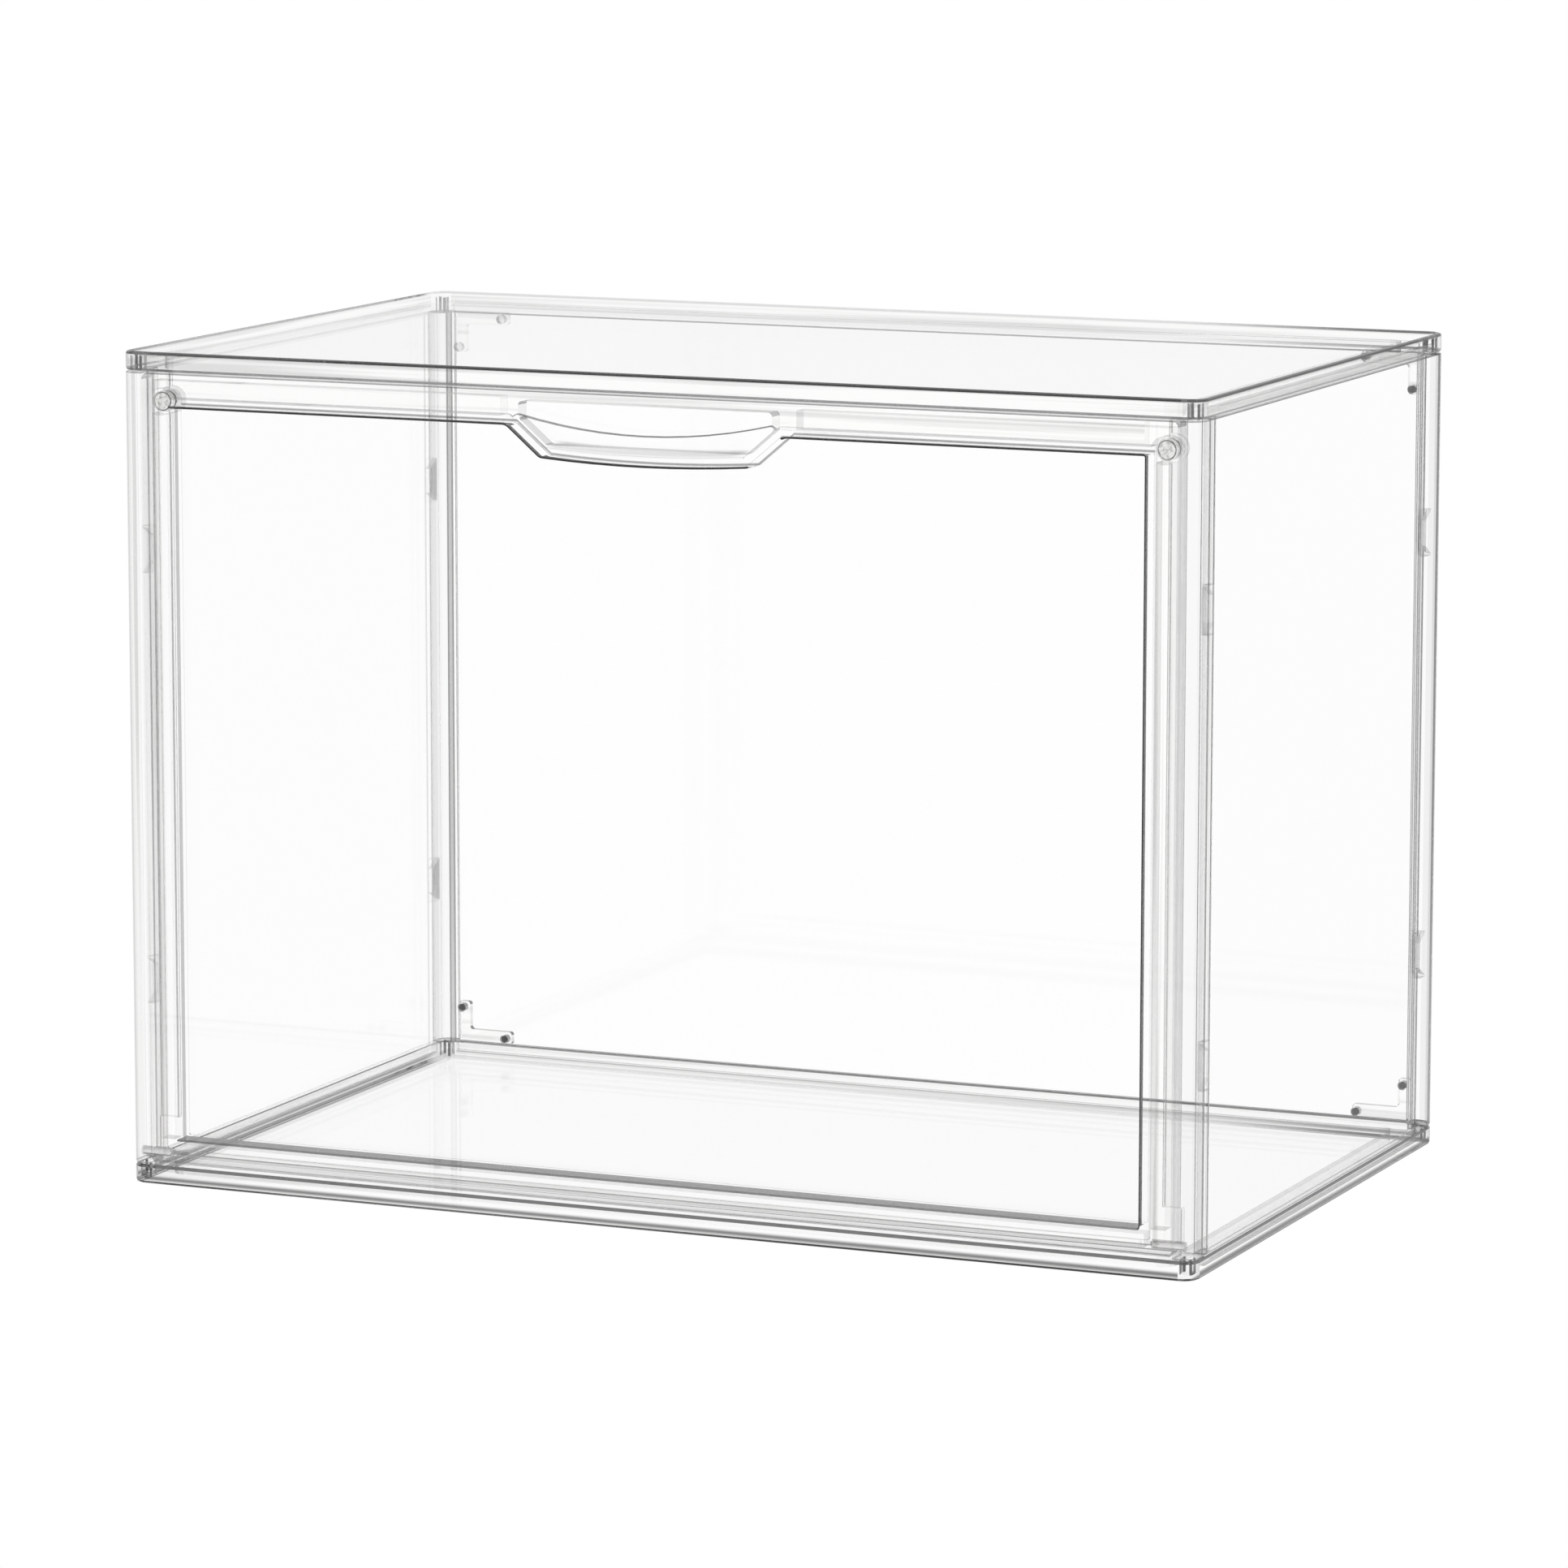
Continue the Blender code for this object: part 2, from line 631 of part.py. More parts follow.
def front_post(name, parts, helpers, finish, sign):
    """A square upright with the lip that stops the door, a hinge bearing and a magnet boss."""
    plan = rounded(
        [
            (sign * HALF_WIDTH, FRONT),
            (sign * HALF_WIDTH, POST_REAR),
            (sign * LIP_INNER, POST_REAR),
            (sign * LIP_INNER, LIP_FRONT),
            (sign * POST_INNER, LIP_FRONT),
            (sign * POST_INNER, FRONT),
        ],
        [CORNER_ROUND, 0, 0, 0, 0, 0],
    )
    body = extruded(name, parts, "Z", [plan], WALL_LOW, WALL_HIGH)
    soften(body, UPRIGHT_EDGE_ROUND)
    add_pegs(body, helpers, name, sign, FRONT_PEG_Y)
    for i, height in enumerate(CLIP_HEIGHTS):
        clip_name = f"{name}_clip_{i}"
        add_clip(body, helpers, clip_name, sign, POST_REAR, POST_REAR + CLIP_LENGTH, height)
    relief = box(
        name + "_lip_relief",
        helpers,
        (sign * (LIP_INNER - OVERRUN), LIP_FRONT - UPRIGHT_EDGE_ROUND, WALL_LOW - OVERRUN),
        (sign * (POST_INNER + UPRIGHT_EDGE_ROUND), POST_REAR + OVERRUN, LIP_START),
    )
    combine(body, relief, "DIFFERENCE")
    place = (sign * MAGNET_X, MAGNET_Z)
    boss_front = LIP_FRONT + BOSS_SET_BACK
    boss_rear = LIP_FRONT + BOSS_LENGTH
    boss = rod(name + "_boss", helpers, "Y", place, MAGNET_BOSS_RADIUS, boss_front, boss_rear)
    combine(body, boss, "UNION")
    pocket = rod(
        name + "_pocket",
        helpers,
        "Y",
        place,
        MAGNET_RADIUS + MAGNET_PLAY,
        LIP_FRONT - OVERRUN,
        FRAME_MAGNET_FRONT + MAGNET_THICKNESS + MAGNET_PLAY,
    )
    combine(body, pocket, "DIFFERENCE")
    low, high = sorted((sign * (POST_INNER - OVERRUN), sign * (PIN_OUTER + PIN_PLAY)))
    bearing = rod(
        name + "_bearing", helpers, "X", (HINGE_Y, HINGE_Z), PIN_RADIUS + PIN_PLAY, low, high
    )
    combine(body, bearing, "DIFFERENCE")
    return finished(body, finish)


def window_outline():
    """The door's window, counter-clockwise, with the dip where the pull hangs into it."""
    half_top, half_foot = PULL_TOP_WIDTH / 2, PULL_FOOT_WIDTH / 2
    return [
        (-WINDOW_HALF, WINDOW_LOW),
        (WINDOW_HALF, WINDOW_LOW),
        (WINDOW_HALF, WINDOW_HIGH),
        (half_top, WINDOW_HIGH),
        (half_foot, PULL_FOOT),
        (-half_foot, PULL_FOOT),
        (-half_top, WINDOW_HIGH),
        (-WINDOW_HALF, WINDOW_HIGH),
    ]


def with_round_corners(corners, square_round, pull_round):
    """The window's outline with arcs, and a shallow sag along the pull's foot."""
    radii = [square_round] * 3 + [pull_round] * 4 + [square_round]
    arcs = rounded(corners, radii)
    end_of_right = 5 * (ARC_STEPS + 1)
    right, left = arcs[end_of_right - 1], arcs[end_of_right]
    foot = sagging(left, right, PULL_SAG)[1:-1]
    return arcs[:end_of_right] + foot[::-1] + arcs[end_of_right:]


def pocket_outline():
    """The pocket behind the pull's lip: the trapezoid inside the bead, up to the rim's upper strip."""
    half_top, half_foot = PULL_TOP_WIDTH / 2, PULL_FOOT_WIDTH / 2
    inset = BEAD_WIDTH + POCKET_LEDGE
    return grown(
        [
            (-half_top, POCKET_TOP + inset),
            (-half_top, WINDOW_HIGH),
            (-half_foot, PULL_FOOT),
            (half_foot, PULL_FOOT),
            (half_top, WINDOW_HIGH),
            (half_top, POCKET_TOP + inset),
        ],
        -inset,
    )


def door(name, parts, helpers, finish):
    """A window sheet in a hollow rim, with a raised bead, a scooped pull, and holes for pins and magnets."""
    front_view = rectangle((-DOOR_HALF, DOOR_LOW), (DOOR_HALF, DOOR_HIGH))
    body = extruded(name, parts, "Y", [rounded(front_view, DOOR_CORNER_ROUND)], FRONT, DOOR_REAR)
    foot = rounded(
        rectangle((FRONT, DOOR_LOW), (DOOR_REAR, DOOR_HIGH)),
        [DOOR_FOOT_ROUND, DOOR_FOOT_ROUND, UPRIGHT_EDGE_ROUND, UPRIGHT_EDGE_ROUND],
    )
    combine(
        body,
        extruded(name + "_foot", helpers, "X", [foot], -DOOR_HALF - OVERRUN, DOOR_HALF + OVERRUN),
        "INTERSECT",
    )

    # The bead round the window dips round the pull, and lines the recess down to the sheet
    seat = with_round_corners(grown(window_outline(), BEAD_SEAT), WINDOW_CORNER_ROUND, PULL_ROUND)
    front_recess = extruded(
        name + "_front_recess", helpers, "Y", [seat], FRONT - OVERRUN, WINDOW_FRONT
    )
    combine(body, front_recess, "DIFFERENCE")
    window = with_round_corners(window_outline(), WINDOW_CORNER_ROUND, PULL_ROUND)
    bead_outer = with_round_corners(
        grown(window_outline(), BEAD_WIDTH), BEAD_CORNER_ROUND, PULL_ROUND
    )
    sheet_middle = (WINDOW_FRONT + WINDOW_REAR) / 2
    bead = extruded(name + "_bead", helpers, "Y", [bead_outer, window], BEAD_FRONT, sheet_middle)
    soften(bead, BEAD_EDGE_ROUND, clamp=False)
    combine(body, bead, "UNION")

    # The recess behind the window's sheet
    rear_recess = extruded(
        name + "_rear_recess", helpers, "Y", [window], WINDOW_REAR, DOOR_REAR + OVERRUN
    )
    combine(body, rear_recess, "DIFFERENCE")

    # The hollow behind the rim, with the pull's block left solid
    outer = grown(front_view, -DOOR_WALL)
    inner = rectangle(
        (-WINDOW_HALF - DOOR_WALL, WINDOW_LOW - DOOR_WALL),
        (WINDOW_HALF + DOOR_WALL, WINDOW_HIGH + DOOR_WALL),
    )
    hollow = extruded(
        name + "_hollow", helpers, "Y", [outer, inner], FRONT + DOOR_WEB, DOOR_REAR + OVERRUN
    )
    block_half = PULL_TOP_WIDTH / 2 + PULL_BLOCK_MARGIN
    block = box(
        name + "_pull_block",
        helpers,
        (-block_half, FRONT, WINDOW_HIGH),
        (block_half, DOOR_REAR + 2 * OVERRUN, DOOR_HIGH),
    )
    combine(hollow, block, "DIFFERENCE")
    for side, sign in SIDES:
        boss = rod(
            f"{name}_boss_{side}",
            helpers,
            "Y",
            (sign * MAGNET_X, MAGNET_Z),
            MAGNET_BOSS_RADIUS,
            FRONT,
            DOOR_REAR + 2 * OVERRUN,
        )
        combine(hollow, boss, "DIFFERENCE")
        hinge_block = box(
            f"{name}_hinge_block_{side}",
            helpers,
            (sign * DOOR_HALF, FRONT, DOOR_LOW),
            (
                sign * (DOOR_HALF - HINGE_BLOCK_WIDTH),
                DOOR_REAR + 2 * OVERRUN,
                DOOR_LOW + HINGE_BLOCK_HEIGHT,
            ),
        )
        combine(hollow, hinge_block, "DIFFERENCE")
    combine(body, hollow, "DIFFERENCE")

    # The pull: a pocket that opens forwards above a lip with a scooped upper edge
    pocket = extruded(
        name + "_pocket",
        helpers,
        "Y",
        [rounded(pocket_outline(), POCKET_ROUND)],
        BEAD_FRONT - OVERRUN,
        POCKET_FLOOR,
    )
    combine(body, pocket, "DIFFERENCE")
    scoop_half = SCOOP_WIDTH / 2
    scoop_end = WINDOW_HIGH + SCOOP_RISE
    scoop = sagging((-scoop_half, scoop_end), (scoop_half, scoop_end), SCOOP_SAG, 3 * ARC_STEPS)
    shoulder_right, foot_right, foot_left, shoulder_left = grown(window_outline(), BEAD_WIDTH / 2)[3:7]
    lip = extruded(
        name + "_lip",
        helpers,
        "Y",
        [[foot_left, foot_right, shoulder_right] + scoop[::-1] + [shoulder_left]],
        BEAD_FRONT + BEAD_EDGE_ROUND,
        BEAD_FRONT + BEAD_EDGE_ROUND + LIP_PLATE,
    )
    soften(lip, UPRIGHT_EDGE_ROUND)
    combine(body, lip, "UNION")

    for side, sign in SIDES:
        magnet_seat = rod(
            f"{name}_magnet_seat_{side}",
            helpers,
            "Y",
            (sign * MAGNET_X, MAGNET_Z),
            MAGNET_RADIUS + MAGNET_PLAY,
            DOOR_MAGNET_REAR - MAGNET_THICKNESS - MAGNET_PLAY,
            DOOR_REAR + OVERRUN,
        )
        combine(body, magnet_seat, "DIFFERENCE")
        low, high = sorted((sign * (PIN_INNER - PIN_PLAY), sign * (DOOR_HALF + OVERRUN)))
        pin_hole = rod(
            f"{name}_pin_hole_{side}",
            helpers,
            "X",
            (HINGE_Y, HINGE_Z),
            PIN_RADIUS + PIN_PLAY,
            low,
            high,
        )
        combine(body, pin_hole, "DIFFERENCE")
    return finished(body, finish)


def magnets_and_pins(parts, magnet_finish, pin_finish):
    """The discs that hold the door shut and the pins that it turns on."""
    made = []
    for side, sign in SIDES:
        place = (sign * MAGNET_X, MAGNET_Z)
        for name, front in (
            ("frame_magnet_", FRAME_MAGNET_FRONT),
            ("door_magnet_", DOOR_MAGNET_REAR - MAGNET_THICKNESS),
        ):
            disc = rod(
                name + side,
                parts,
                "Y",
                place,
                MAGNET_RADIUS,
                front,
                front + MAGNET_THICKNESS,
                MAGNET_CHAMFER,
            )
            made.append(finished(disc, magnet_finish))
        low, high = sorted((sign * PIN_INNER, sign * PIN_OUTER))
        pin = rod(
            "hinge_pin_" + side,
            parts,
            "X",
            (HINGE_Y, HINGE_Z),
            PIN_RADIUS,
            low,
            high,
            PIN_CHAMFER,
        )
        made.append(finished(pin, pin_finish))
    return made


def hang_on_hinge(pieces, collection):
    """Parents the door's pieces to an empty on the hinge line, so that turning it opens the door."""
    hinge = bpy.data.objects.new("door_hinge", None)
    hinge.location = (0, HINGE_Y, HINGE_Z)
    hinge.empty_display_size = DOOR_THICKNESS
    collection.objects.link(hinge)
    bpy.context.view_layer.update()
    for piece in pieces:
        piece.parent = hinge
        piece.matrix_parent_inverse = hinge.matrix_world.inverted()


def build():
    clear_scene()
    parts = new_collection("display_case")
    helpers = new_collection("display_case_cutters")

    def clear(name):
        return material(name + "_clear_plastic", CLEAR_COLOUR, CLEAR_ROUGHNESS, transmission=1.0)

    tray("base_panel", parts, helpers, clear("base_panel"), 1)
    tray("top_panel", parts, helpers, clear("top_panel"), -1)
    back_panel("back_panel", parts, helpers, clear("back_panel"))
    for side, sign in SIDES:
        side_panel(f"{side}_panel", parts, helpers, clear(f"{side}_panel"), sign)
        front_post(f"front_post_{side}", parts, helpers, clear(f"front_post_{side}"), sign)
        for level, level_sign in LEVELS:
            name = f"corner_key_{level}_{side}"
            corner_key(name, parts, helpers, clear(name), sign, level_sign)
    moving = [door("door", parts, helpers, clear("door"))]
    magnet_finish = material("magnet_nickel", NICKEL_COLOUR, NICKEL_ROUGHNESS, metallic=1.0)
    pin_finish = material("pin_steel", STEEL_COLOUR, STEEL_ROUGHNESS, metallic=1.0)
    for piece in magnets_and_pins(parts, magnet_finish, pin_finish):
        if not piece.name.startswith("frame_magnet"):
            moving.append(piece)
    hang_on_hinge(moving, parts)


build()
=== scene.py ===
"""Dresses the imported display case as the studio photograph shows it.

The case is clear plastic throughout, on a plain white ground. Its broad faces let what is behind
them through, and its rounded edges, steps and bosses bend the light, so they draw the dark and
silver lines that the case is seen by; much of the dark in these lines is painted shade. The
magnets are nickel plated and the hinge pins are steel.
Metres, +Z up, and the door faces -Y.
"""

import logging
import math
from dataclasses import dataclass
from enum import Enum

import bmesh
import bpy
from mathutils import Matrix, Vector

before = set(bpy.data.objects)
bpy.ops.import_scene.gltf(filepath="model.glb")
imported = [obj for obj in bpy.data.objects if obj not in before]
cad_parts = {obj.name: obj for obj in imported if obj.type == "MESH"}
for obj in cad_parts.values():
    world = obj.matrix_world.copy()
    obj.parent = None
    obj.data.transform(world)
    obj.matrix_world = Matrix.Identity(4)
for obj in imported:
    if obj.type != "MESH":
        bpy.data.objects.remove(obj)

log = logging.getLogger("display_case")

EVEN_BLEND = 0.5  # the Layer Weight node's plain setting
WHITE = (1.0, 1.0, 1.0, 1.0)
BLACK = (0.0, 0.0, 0.0, 1.0)


class StreakRun(Enum):
    """Which way the painted shade streaks in a narrow face run.

    The number is how far from the middle of the case, in metres, they turn from level to upright.
    """

    UPRIGHT = -1.0
    MITRED = 0.158
    LEVEL = 1.0


class Kind(Enum):
    """What sort of face it is, which settles its finish.

    The window's recess has four walls: its top, its sill, the one on the left, which is farther
    from the camera, and the one on the right, which is nearer.
    """

    BROAD = "broad"  # a panel or the window
    RIM = "rim"  # an outer face of a rim or upright, which has painted shade streaks
    EDGE = "edge"  # the rounded edge where two outer faces meet
    CORNER = "corner"  # the upright round at a corner of the case
    BORE = "bore"  # the seat of a magnet or pin
    ROUND = "round"  # any other wide round
    BENT = "bent"  # a thin step or edge
    WALL = "wall"  # a narrow flat wall
    DOT = "dot"  # the end of a key's peg
    RECESS_TOP = "recess_top"
    RECESS_SILL = "recess_sill"
    RECESS_FAR = "recess_far"
    RECESS_NEAR = "recess_near"


class Side(Enum):
    """The left and right half of the case, as the sign of X."""

    LEFT = -1
    RIGHT = 1

    @property
    def word(self) -> str:
        """The side's name as the pieces use it."""
        return self.name.lower()


class Value:
    """A number in a shader. An expression on it adds the Math nodes that work it out."""

    def __init__(self, graph: "Graph", socket: bpy.types.NodeSocket) -> None:
        """Wraps a node's output.

        Args:
            graph: the nodes that the socket belongs to.
            socket: the output that holds the number.
        """
        self.graph = graph
        self.socket = socket

    def _math(self, operation: str, first: "Value | float", second: "Value | float") -> "Value":
        """Adds one Math node.

        Args:
            operation: the node's operation.
            first: its first number.
            second: its second number.

        Returns:
            The node's result.
        """
        node = self.graph.node("ShaderNodeMath", {"operation": operation}, {0: first, 1: second})
        return Value(self.graph, node.outputs[0])

    def __add__(self, other: "Value | float") -> "Value":
        """The sum."""
        return self._math("ADD", self, other)

    __radd__ = __add__

    def __mul__(self, other: "Value | float") -> "Value":
        """The product."""
        return self._math("MULTIPLY", self, other)

    __rmul__ = __mul__

    def __sub__(self, other: "Value | float") -> "Value":
        """This number less the other."""
        return self._math("SUBTRACT", self, other)

    def __rsub__(self, other: float) -> "Value":
        """The other number less this one."""
        return self._math("SUBTRACT", other, self)

    def __truediv__(self, other: "Value | float") -> "Value":
        """This number over the other."""
        return self._math("DIVIDE", self, other)

    def __pow__(self, other: "Value | float") -> "Value":
        """This number to a power."""
        return self._math("POWER", self, other)

    def __abs__(self) -> "Value":
        """This number without its sign."""
        return self._math("ABSOLUTE", self, 0.0)

    def at_least(self, other: "Value | float") -> "Value":
        """The larger of the two."""
        return self._math("MAXIMUM", self, other)

    def at_most(self, other: "Value | float") -> "Value":
        """The smaller of the two."""
        return self._math("MINIMUM", self, other)

    def eased(self, low: float, high: float) -> "Value":
        """Zero below low, one above high, and a smooth rise between them.

        Args:
            low: where the rise starts.
            high: where it ends.

        Returns:
            The eased number.
        """
        node = self.graph.node(
            "ShaderNodeMapRange",
            {"interpolation_type": "SMOOTHSTEP"},
            {"Value": self, "From Min": low, "From Max": high},
        )
        return Value(self.graph, node.outputs["Result"])

    def within(self, low: float, high: float, soft: float) -> "Value":
        """One between two bounds, and zero outside them.

        Args:
            low: the lower bound.
            high: the upper bound.
            soft: how far each side of a bound the change reaches.

        Returns:
            The share, from zero to one.
        """
        begun = self.eased(low - soft, low + soft)
        ended = self.eased(high - soft, high + soft)
        return begun * (1.0 - ended)


class Graph:
    """The nodes of one material or of the world."""

    def __init__(self, tree: bpy.types.NodeTree) -> None:
        """Empties a node tree, to build it anew.

        Args:
            tree: the tree to fill.
        """
        self.tree = tree
        tree.nodes.clear()

    def node(
        self,
        kind: str,
        settings: dict[str, object] | None = None,
        inputs: dict[str | int, object] | None = None,
    ) -> bpy.types.Node:
        """Adds a node, sets it up, and fills or links its inputs.

        Args:
            kind: the node's type.
            settings: the node's own settings, which are set first.
            inputs: what goes into its sockets, a plain value or a link.

        Returns:
            The node.
        """
        made = self.tree.nodes.new(kind)
        for name, setting in (settings or {}).items():
            setattr(made, name, setting)
        for name, source in (inputs or {}).items():
            if isinstance(source, Value):
                source = source.socket
            if isinstance(source, bpy.types.NodeSocket):
                self.tree.links.new(source, made.inputs[name])
            else:
                made.inputs[name].default_value = source
        return made

    def number(self, kind: str, output: str, **details: dict) -> Value:
        """Adds a node and takes one number from it.

        Args:
            kind: the node's type.
            output: the name of the output.
            details: the settings and inputs, as node() takes them.

        Returns:
            The number.
        """
        return Value(self, self.node(kind, **details).outputs[output])

    def parts(self, vector: bpy.types.NodeSocket) -> tuple[Value, Value, Value]:
        """The three numbers of a vector.

        Args:
            vector: the vector's socket.

        Returns:
            X, Y and Z.
        """
        split = self.node("ShaderNodeSeparateXYZ", inputs={0: vector})
        return tuple(Value(self, output) for output in split.outputs)

    def vector(self, x: Value, y: Value, z: Value) -> bpy.types.NodeSocket:
        """Joins three numbers into a vector."""
        return self.node("ShaderNodeCombineXYZ", inputs={0: x, 1: y, 2: z}).outputs[0]

    def coordinate(self, name: str) -> bpy.types.NodeSocket:
        """One of the Texture Coordinate node's vectors."""
        return self.node("ShaderNodeTexCoord").outputs[name]

    def place(self) -> tuple[Value, Value, Value]:
        """Where the point lies in the piece's own frame, which is the case's frame at rest."""
        return self.parts(self.coordinate("Object"))

    def slant(self) -> Value:
        """Zero on a face seen square on, and one on a face seen along itself."""
        return self.number("ShaderNodeLayerWeight", "Facing", inputs={"Blend": EVEN_BLEND})

    def noise(self, vector: bpy.types.NodeSocket, scale: float, detail: float) -> Value:
        """Adds smooth noise.

        Args:
            vector: the place that it is worked out for.
            scale: how fine it is.
            detail: how many finer layers lie on it.

        Returns:
            The noise, from zero to one.
        """
        return self.number(
            "ShaderNodeTexNoise",
            "Fac",
            inputs={"Vector": vector, "Scale": scale, "Detail": detail},
        )

    def bump(self, height: Value, strength: float, distance: float) -> bpy.types.NodeSocket:
        """Turns a height into a bumped normal.

        Args:
            height: the height.
            strength: the share of the bump that shows.
            distance: the rise in metres at a height of one.

        Returns:
            The normal's socket.
        """
        node = self.node(
            "ShaderNodeBump",
            inputs={"Strength": strength, "Distance": distance, "Height": height},
        )
        return node.outputs[0]

    def clear(self, tint: tuple[float, float, float]) -> bpy.types.Node:
        """Adds a shader that lets what is behind straight through, in a tint."""
        return self.node("ShaderNodeBsdfTransparent", inputs={"Color": (*tint, 1.0)})

    def metal(
        self,
        colour: object,
        roughness: Value | float,
        more: dict[str, object] | None = None,
    ) -> bpy.types.Node:
        """Adds a shader that only reflects.

        Args:
            colour: its colour, four numbers or a link.
            roughness: its roughness.
            more: what goes into its other inputs.

        Returns:
            The Principled node.
        """
        inputs = {"Base Color": colour, "Metallic": 1.0, "Roughness": roughness, **(more or {})}
        return self.node("ShaderNodeBsdfPrincipled", inputs=inputs)

    def colour(self, factor: Value, first: object, second: object) -> bpy.types.NodeSocket:
        """Mixes two colours.

        Args:
            factor: the share of the second colour.
            first: the colour at zero.
            second: the colour at one.

        Returns:
            The mixed colour's socket.
        """
        node = self.node(
            "ShaderNodeMix", {"data_type": "RGBA"}, {"Factor": factor, 6: first, 7: second}
        )
        return node.outputs[2]

    def blend(
        self, factor: Value | float, first: bpy.types.Node, second: bpy.types.Node
    ) -> bpy.types.Node:
        """Mixes two shaders.

        Args:
            factor: the share of the second shader.
            first: the shader at zero.
            second: the shader at one.

        Returns:
            The Mix Shader node.
        """
        return self.node(
            "ShaderNodeMixShader",
            inputs={0: factor, 1: first.outputs[0], 2: second.outputs[0]},
        )

    def finish(self, shader: bpy.types.Node, kind: str = "ShaderNodeOutputMaterial") -> None:
        """Sends a shader to the output.

        Args:
            shader: the last shader.
            kind: the output's type.
        """
        self.node(kind, inputs={"Surface": shader.outputs[0]})


def new_material(name: str) -> tuple[bpy.types.Material, Graph]:
    """Makes a material with an empty graph.

    Args:
        name: the material's name.

    Returns:
        The material and its graph.
    """
    made = bpy.data.materials.new(name)
    made.use_nodes = True
    return made, Graph(made.node_tree)


@dataclass(frozen=True)
class PaintedShadeByPlace:
    """How strong the painted shade on edges is: in full at the front and on the right, and less at
    the rear left.
    """

    rear_left: float = 0.4
    full: float = 1.0
    front: tuple[float, float] = (-0.100, -0.060)
    right: tuple[float, float] = (0.080, 0.160)

    def strength(self, graph: Graph) -> Value:
        """Works the strength out from the place.

        Args:
            graph: the nodes to add to.

        Returns:
            The strength, from rear_left to full.
        """
        x, y, _ = graph.place()
        in_front = 1.0 - y.eased(*self.front)
        risen = in_front.at_least(x.eased(*self.right))
        return self.rear_left + (self.full - self.rear_left) * risen


@dataclass(frozen=True)
class OuterShadeLine:
    """The soft dark line of painted shade along the outer edges of the whole case."""

    low: tuple[float, float, float]
    high: tuple[float, float, float]
    inset: float = 0.0002
    reach: float = 0.0013
    depth: float = 0.80
    lighting: PaintedShadeByPlace = PaintedShadeByPlace(rear_left=0.30, front=(0.095, 0.107))

    def share(self, graph: Graph) -> Value:
        """Works out how dark the line is.

        Args:
            graph: the nodes to add to.

        Returns:
            The dark share, zero away from the edges.
        """
        gaps = []
        for part, least, most in zip(graph.place(), self.low, self.high):
            gaps.append(0.5 * (most - least) - abs(part - 0.5 * (most + least)))
        first, second, third = gaps
        nearer, farther = first.at_most(second), first.at_least(second)
        to_edge = nearer.at_least(farther.at_most(third))
        line = 1.0 - abs(to_edge - self.inset).eased(0.0, self.reach)
        return self.depth * line * self.lighting.strength(graph)


@dataclass(frozen=True)
class Streaks:
    """Painted shade: faint grey streaks along the narrow faces of rims and uprights, for the grey
    of light reflected to and fro inside the plastic.
    """

    streak_run: StreakRun = StreakRun.LEVEL
    depth: float = 0.25
    start: float = 0.44
    full: float = 0.70
    fine: float = 420.0
    drawn_out: float = 5.0
    detail: float = 2.0
    turn: float = 0.0005

    def share(self, graph: Graph) -> Value:
        """Works out how grey the streaks are.

        Args:
            graph: the nodes to add to.

        Returns:
            The grey share.
        """
        x, y, z = graph.place()
        upright = abs(x).eased(self.streak_run.value - self.turn, self.streak_run.value + self.turn)
        sideways = self.drawn_out + (self.fine - self.drawn_out) * upright
        rising = self.fine + self.drawn_out - sideways
        drawn = graph.vector(x * sideways, y * sideways, z * rising)
        return self.depth * graph.noise(drawn, 1.0, self.detail).eased(self.start, self.full)


@dataclass(frozen=True)
class WindowShadeLine:
    """Painted shade: the dark line over the window, which dips round the pull, and the soft one
    above its foot.

    The window's upper edge is level, slants down at both ends of the pull and sags along its foot.
    """

    half_width: float = 0.1580
    level: float = 0.24115
    foot: float = 0.23165
    top_half: float = 0.0450
    foot_half: float = 0.03375
    sag: float = 0.0013
    band: tuple[float, float] = (0.0002, 0.0009)
    soft: float = 0.0002
    depth: float = 0.60
    foot_line: float = 0.0042
    foot_reach: float = 0.0011
    foot_depth: float = 0.23
    foot_end: tuple[float, float] = (0.0280, 0.0330)

    def share(self, graph: Graph) -> Value:
        """Works out how dark the two lines are.

        Args:
            graph: the nodes to add to.

        Returns:
            The dark share.
        """
        x, _, z = graph.place()
        out = abs(x)
        sagging = self.foot - self.sag * (1.0 - (out / self.foot_half) ** 2.0)
        slope = (self.level - self.foot) / (self.top_half - self.foot_half)
        slanting = self.foot + slope * (out - self.foot_half)
        above = z - sagging.at_least(slanting).at_most(self.level)
        inside = 1.0 - out.eased(self.half_width - self.soft, self.half_width + self.soft)
        over_window = self.depth * above.within(*self.band, self.soft) * inside
        near = 1.0 - abs(above - self.foot_line).eased(0.0, self.foot_reach)
        return over_window.at_least(self.foot_depth * near * (1.0 - out.eased(*self.foot_end)))


@dataclass(frozen=True)
class BroadFace:
    """Clear plastic on a flat face: what is behind shows straight through, under a thin gloss.

    The marks are painted shade that lies on it, such as the line along the case's outer edges.
    """

    name: str
    marks: tuple[OuterShadeLine | Streaks | WindowShadeLine, ...] = ()
    tint: tuple[float, float, float] = (0.997, 0.998, 0.997)
    shade: tuple[float, float, float] = (0.06, 0.06, 0.06)
    gloss_seen_square: float = 0.020
    gloss_seen_flat: float = 0.25
    gloss_power: float = 5.0
    roughness: float = 0.03

    def material(self) -> bpy.types.Material:
        """Builds the finish.

        Returns:
            The material.
        """
        made, graph = new_material(self.name)
        rest = self.gloss_seen_flat - self.gloss_seen_square
        share = self.gloss_seen_square + rest * graph.slant() ** self.gloss_power
        colour = WHITE
        # Each mark paints shade into the gloss's colour and share.
        for mark in self.marks:
            dark = mark.share(graph)
            total = share + dark - share * dark
            colour = graph.colour(dark / total, colour, (*self.shade, 1.0))
            share = total
        gloss = graph.metal(colour, self.roughness)
        graph.finish(graph.blend(share, graph.clear(self.tint), gloss))
        return made


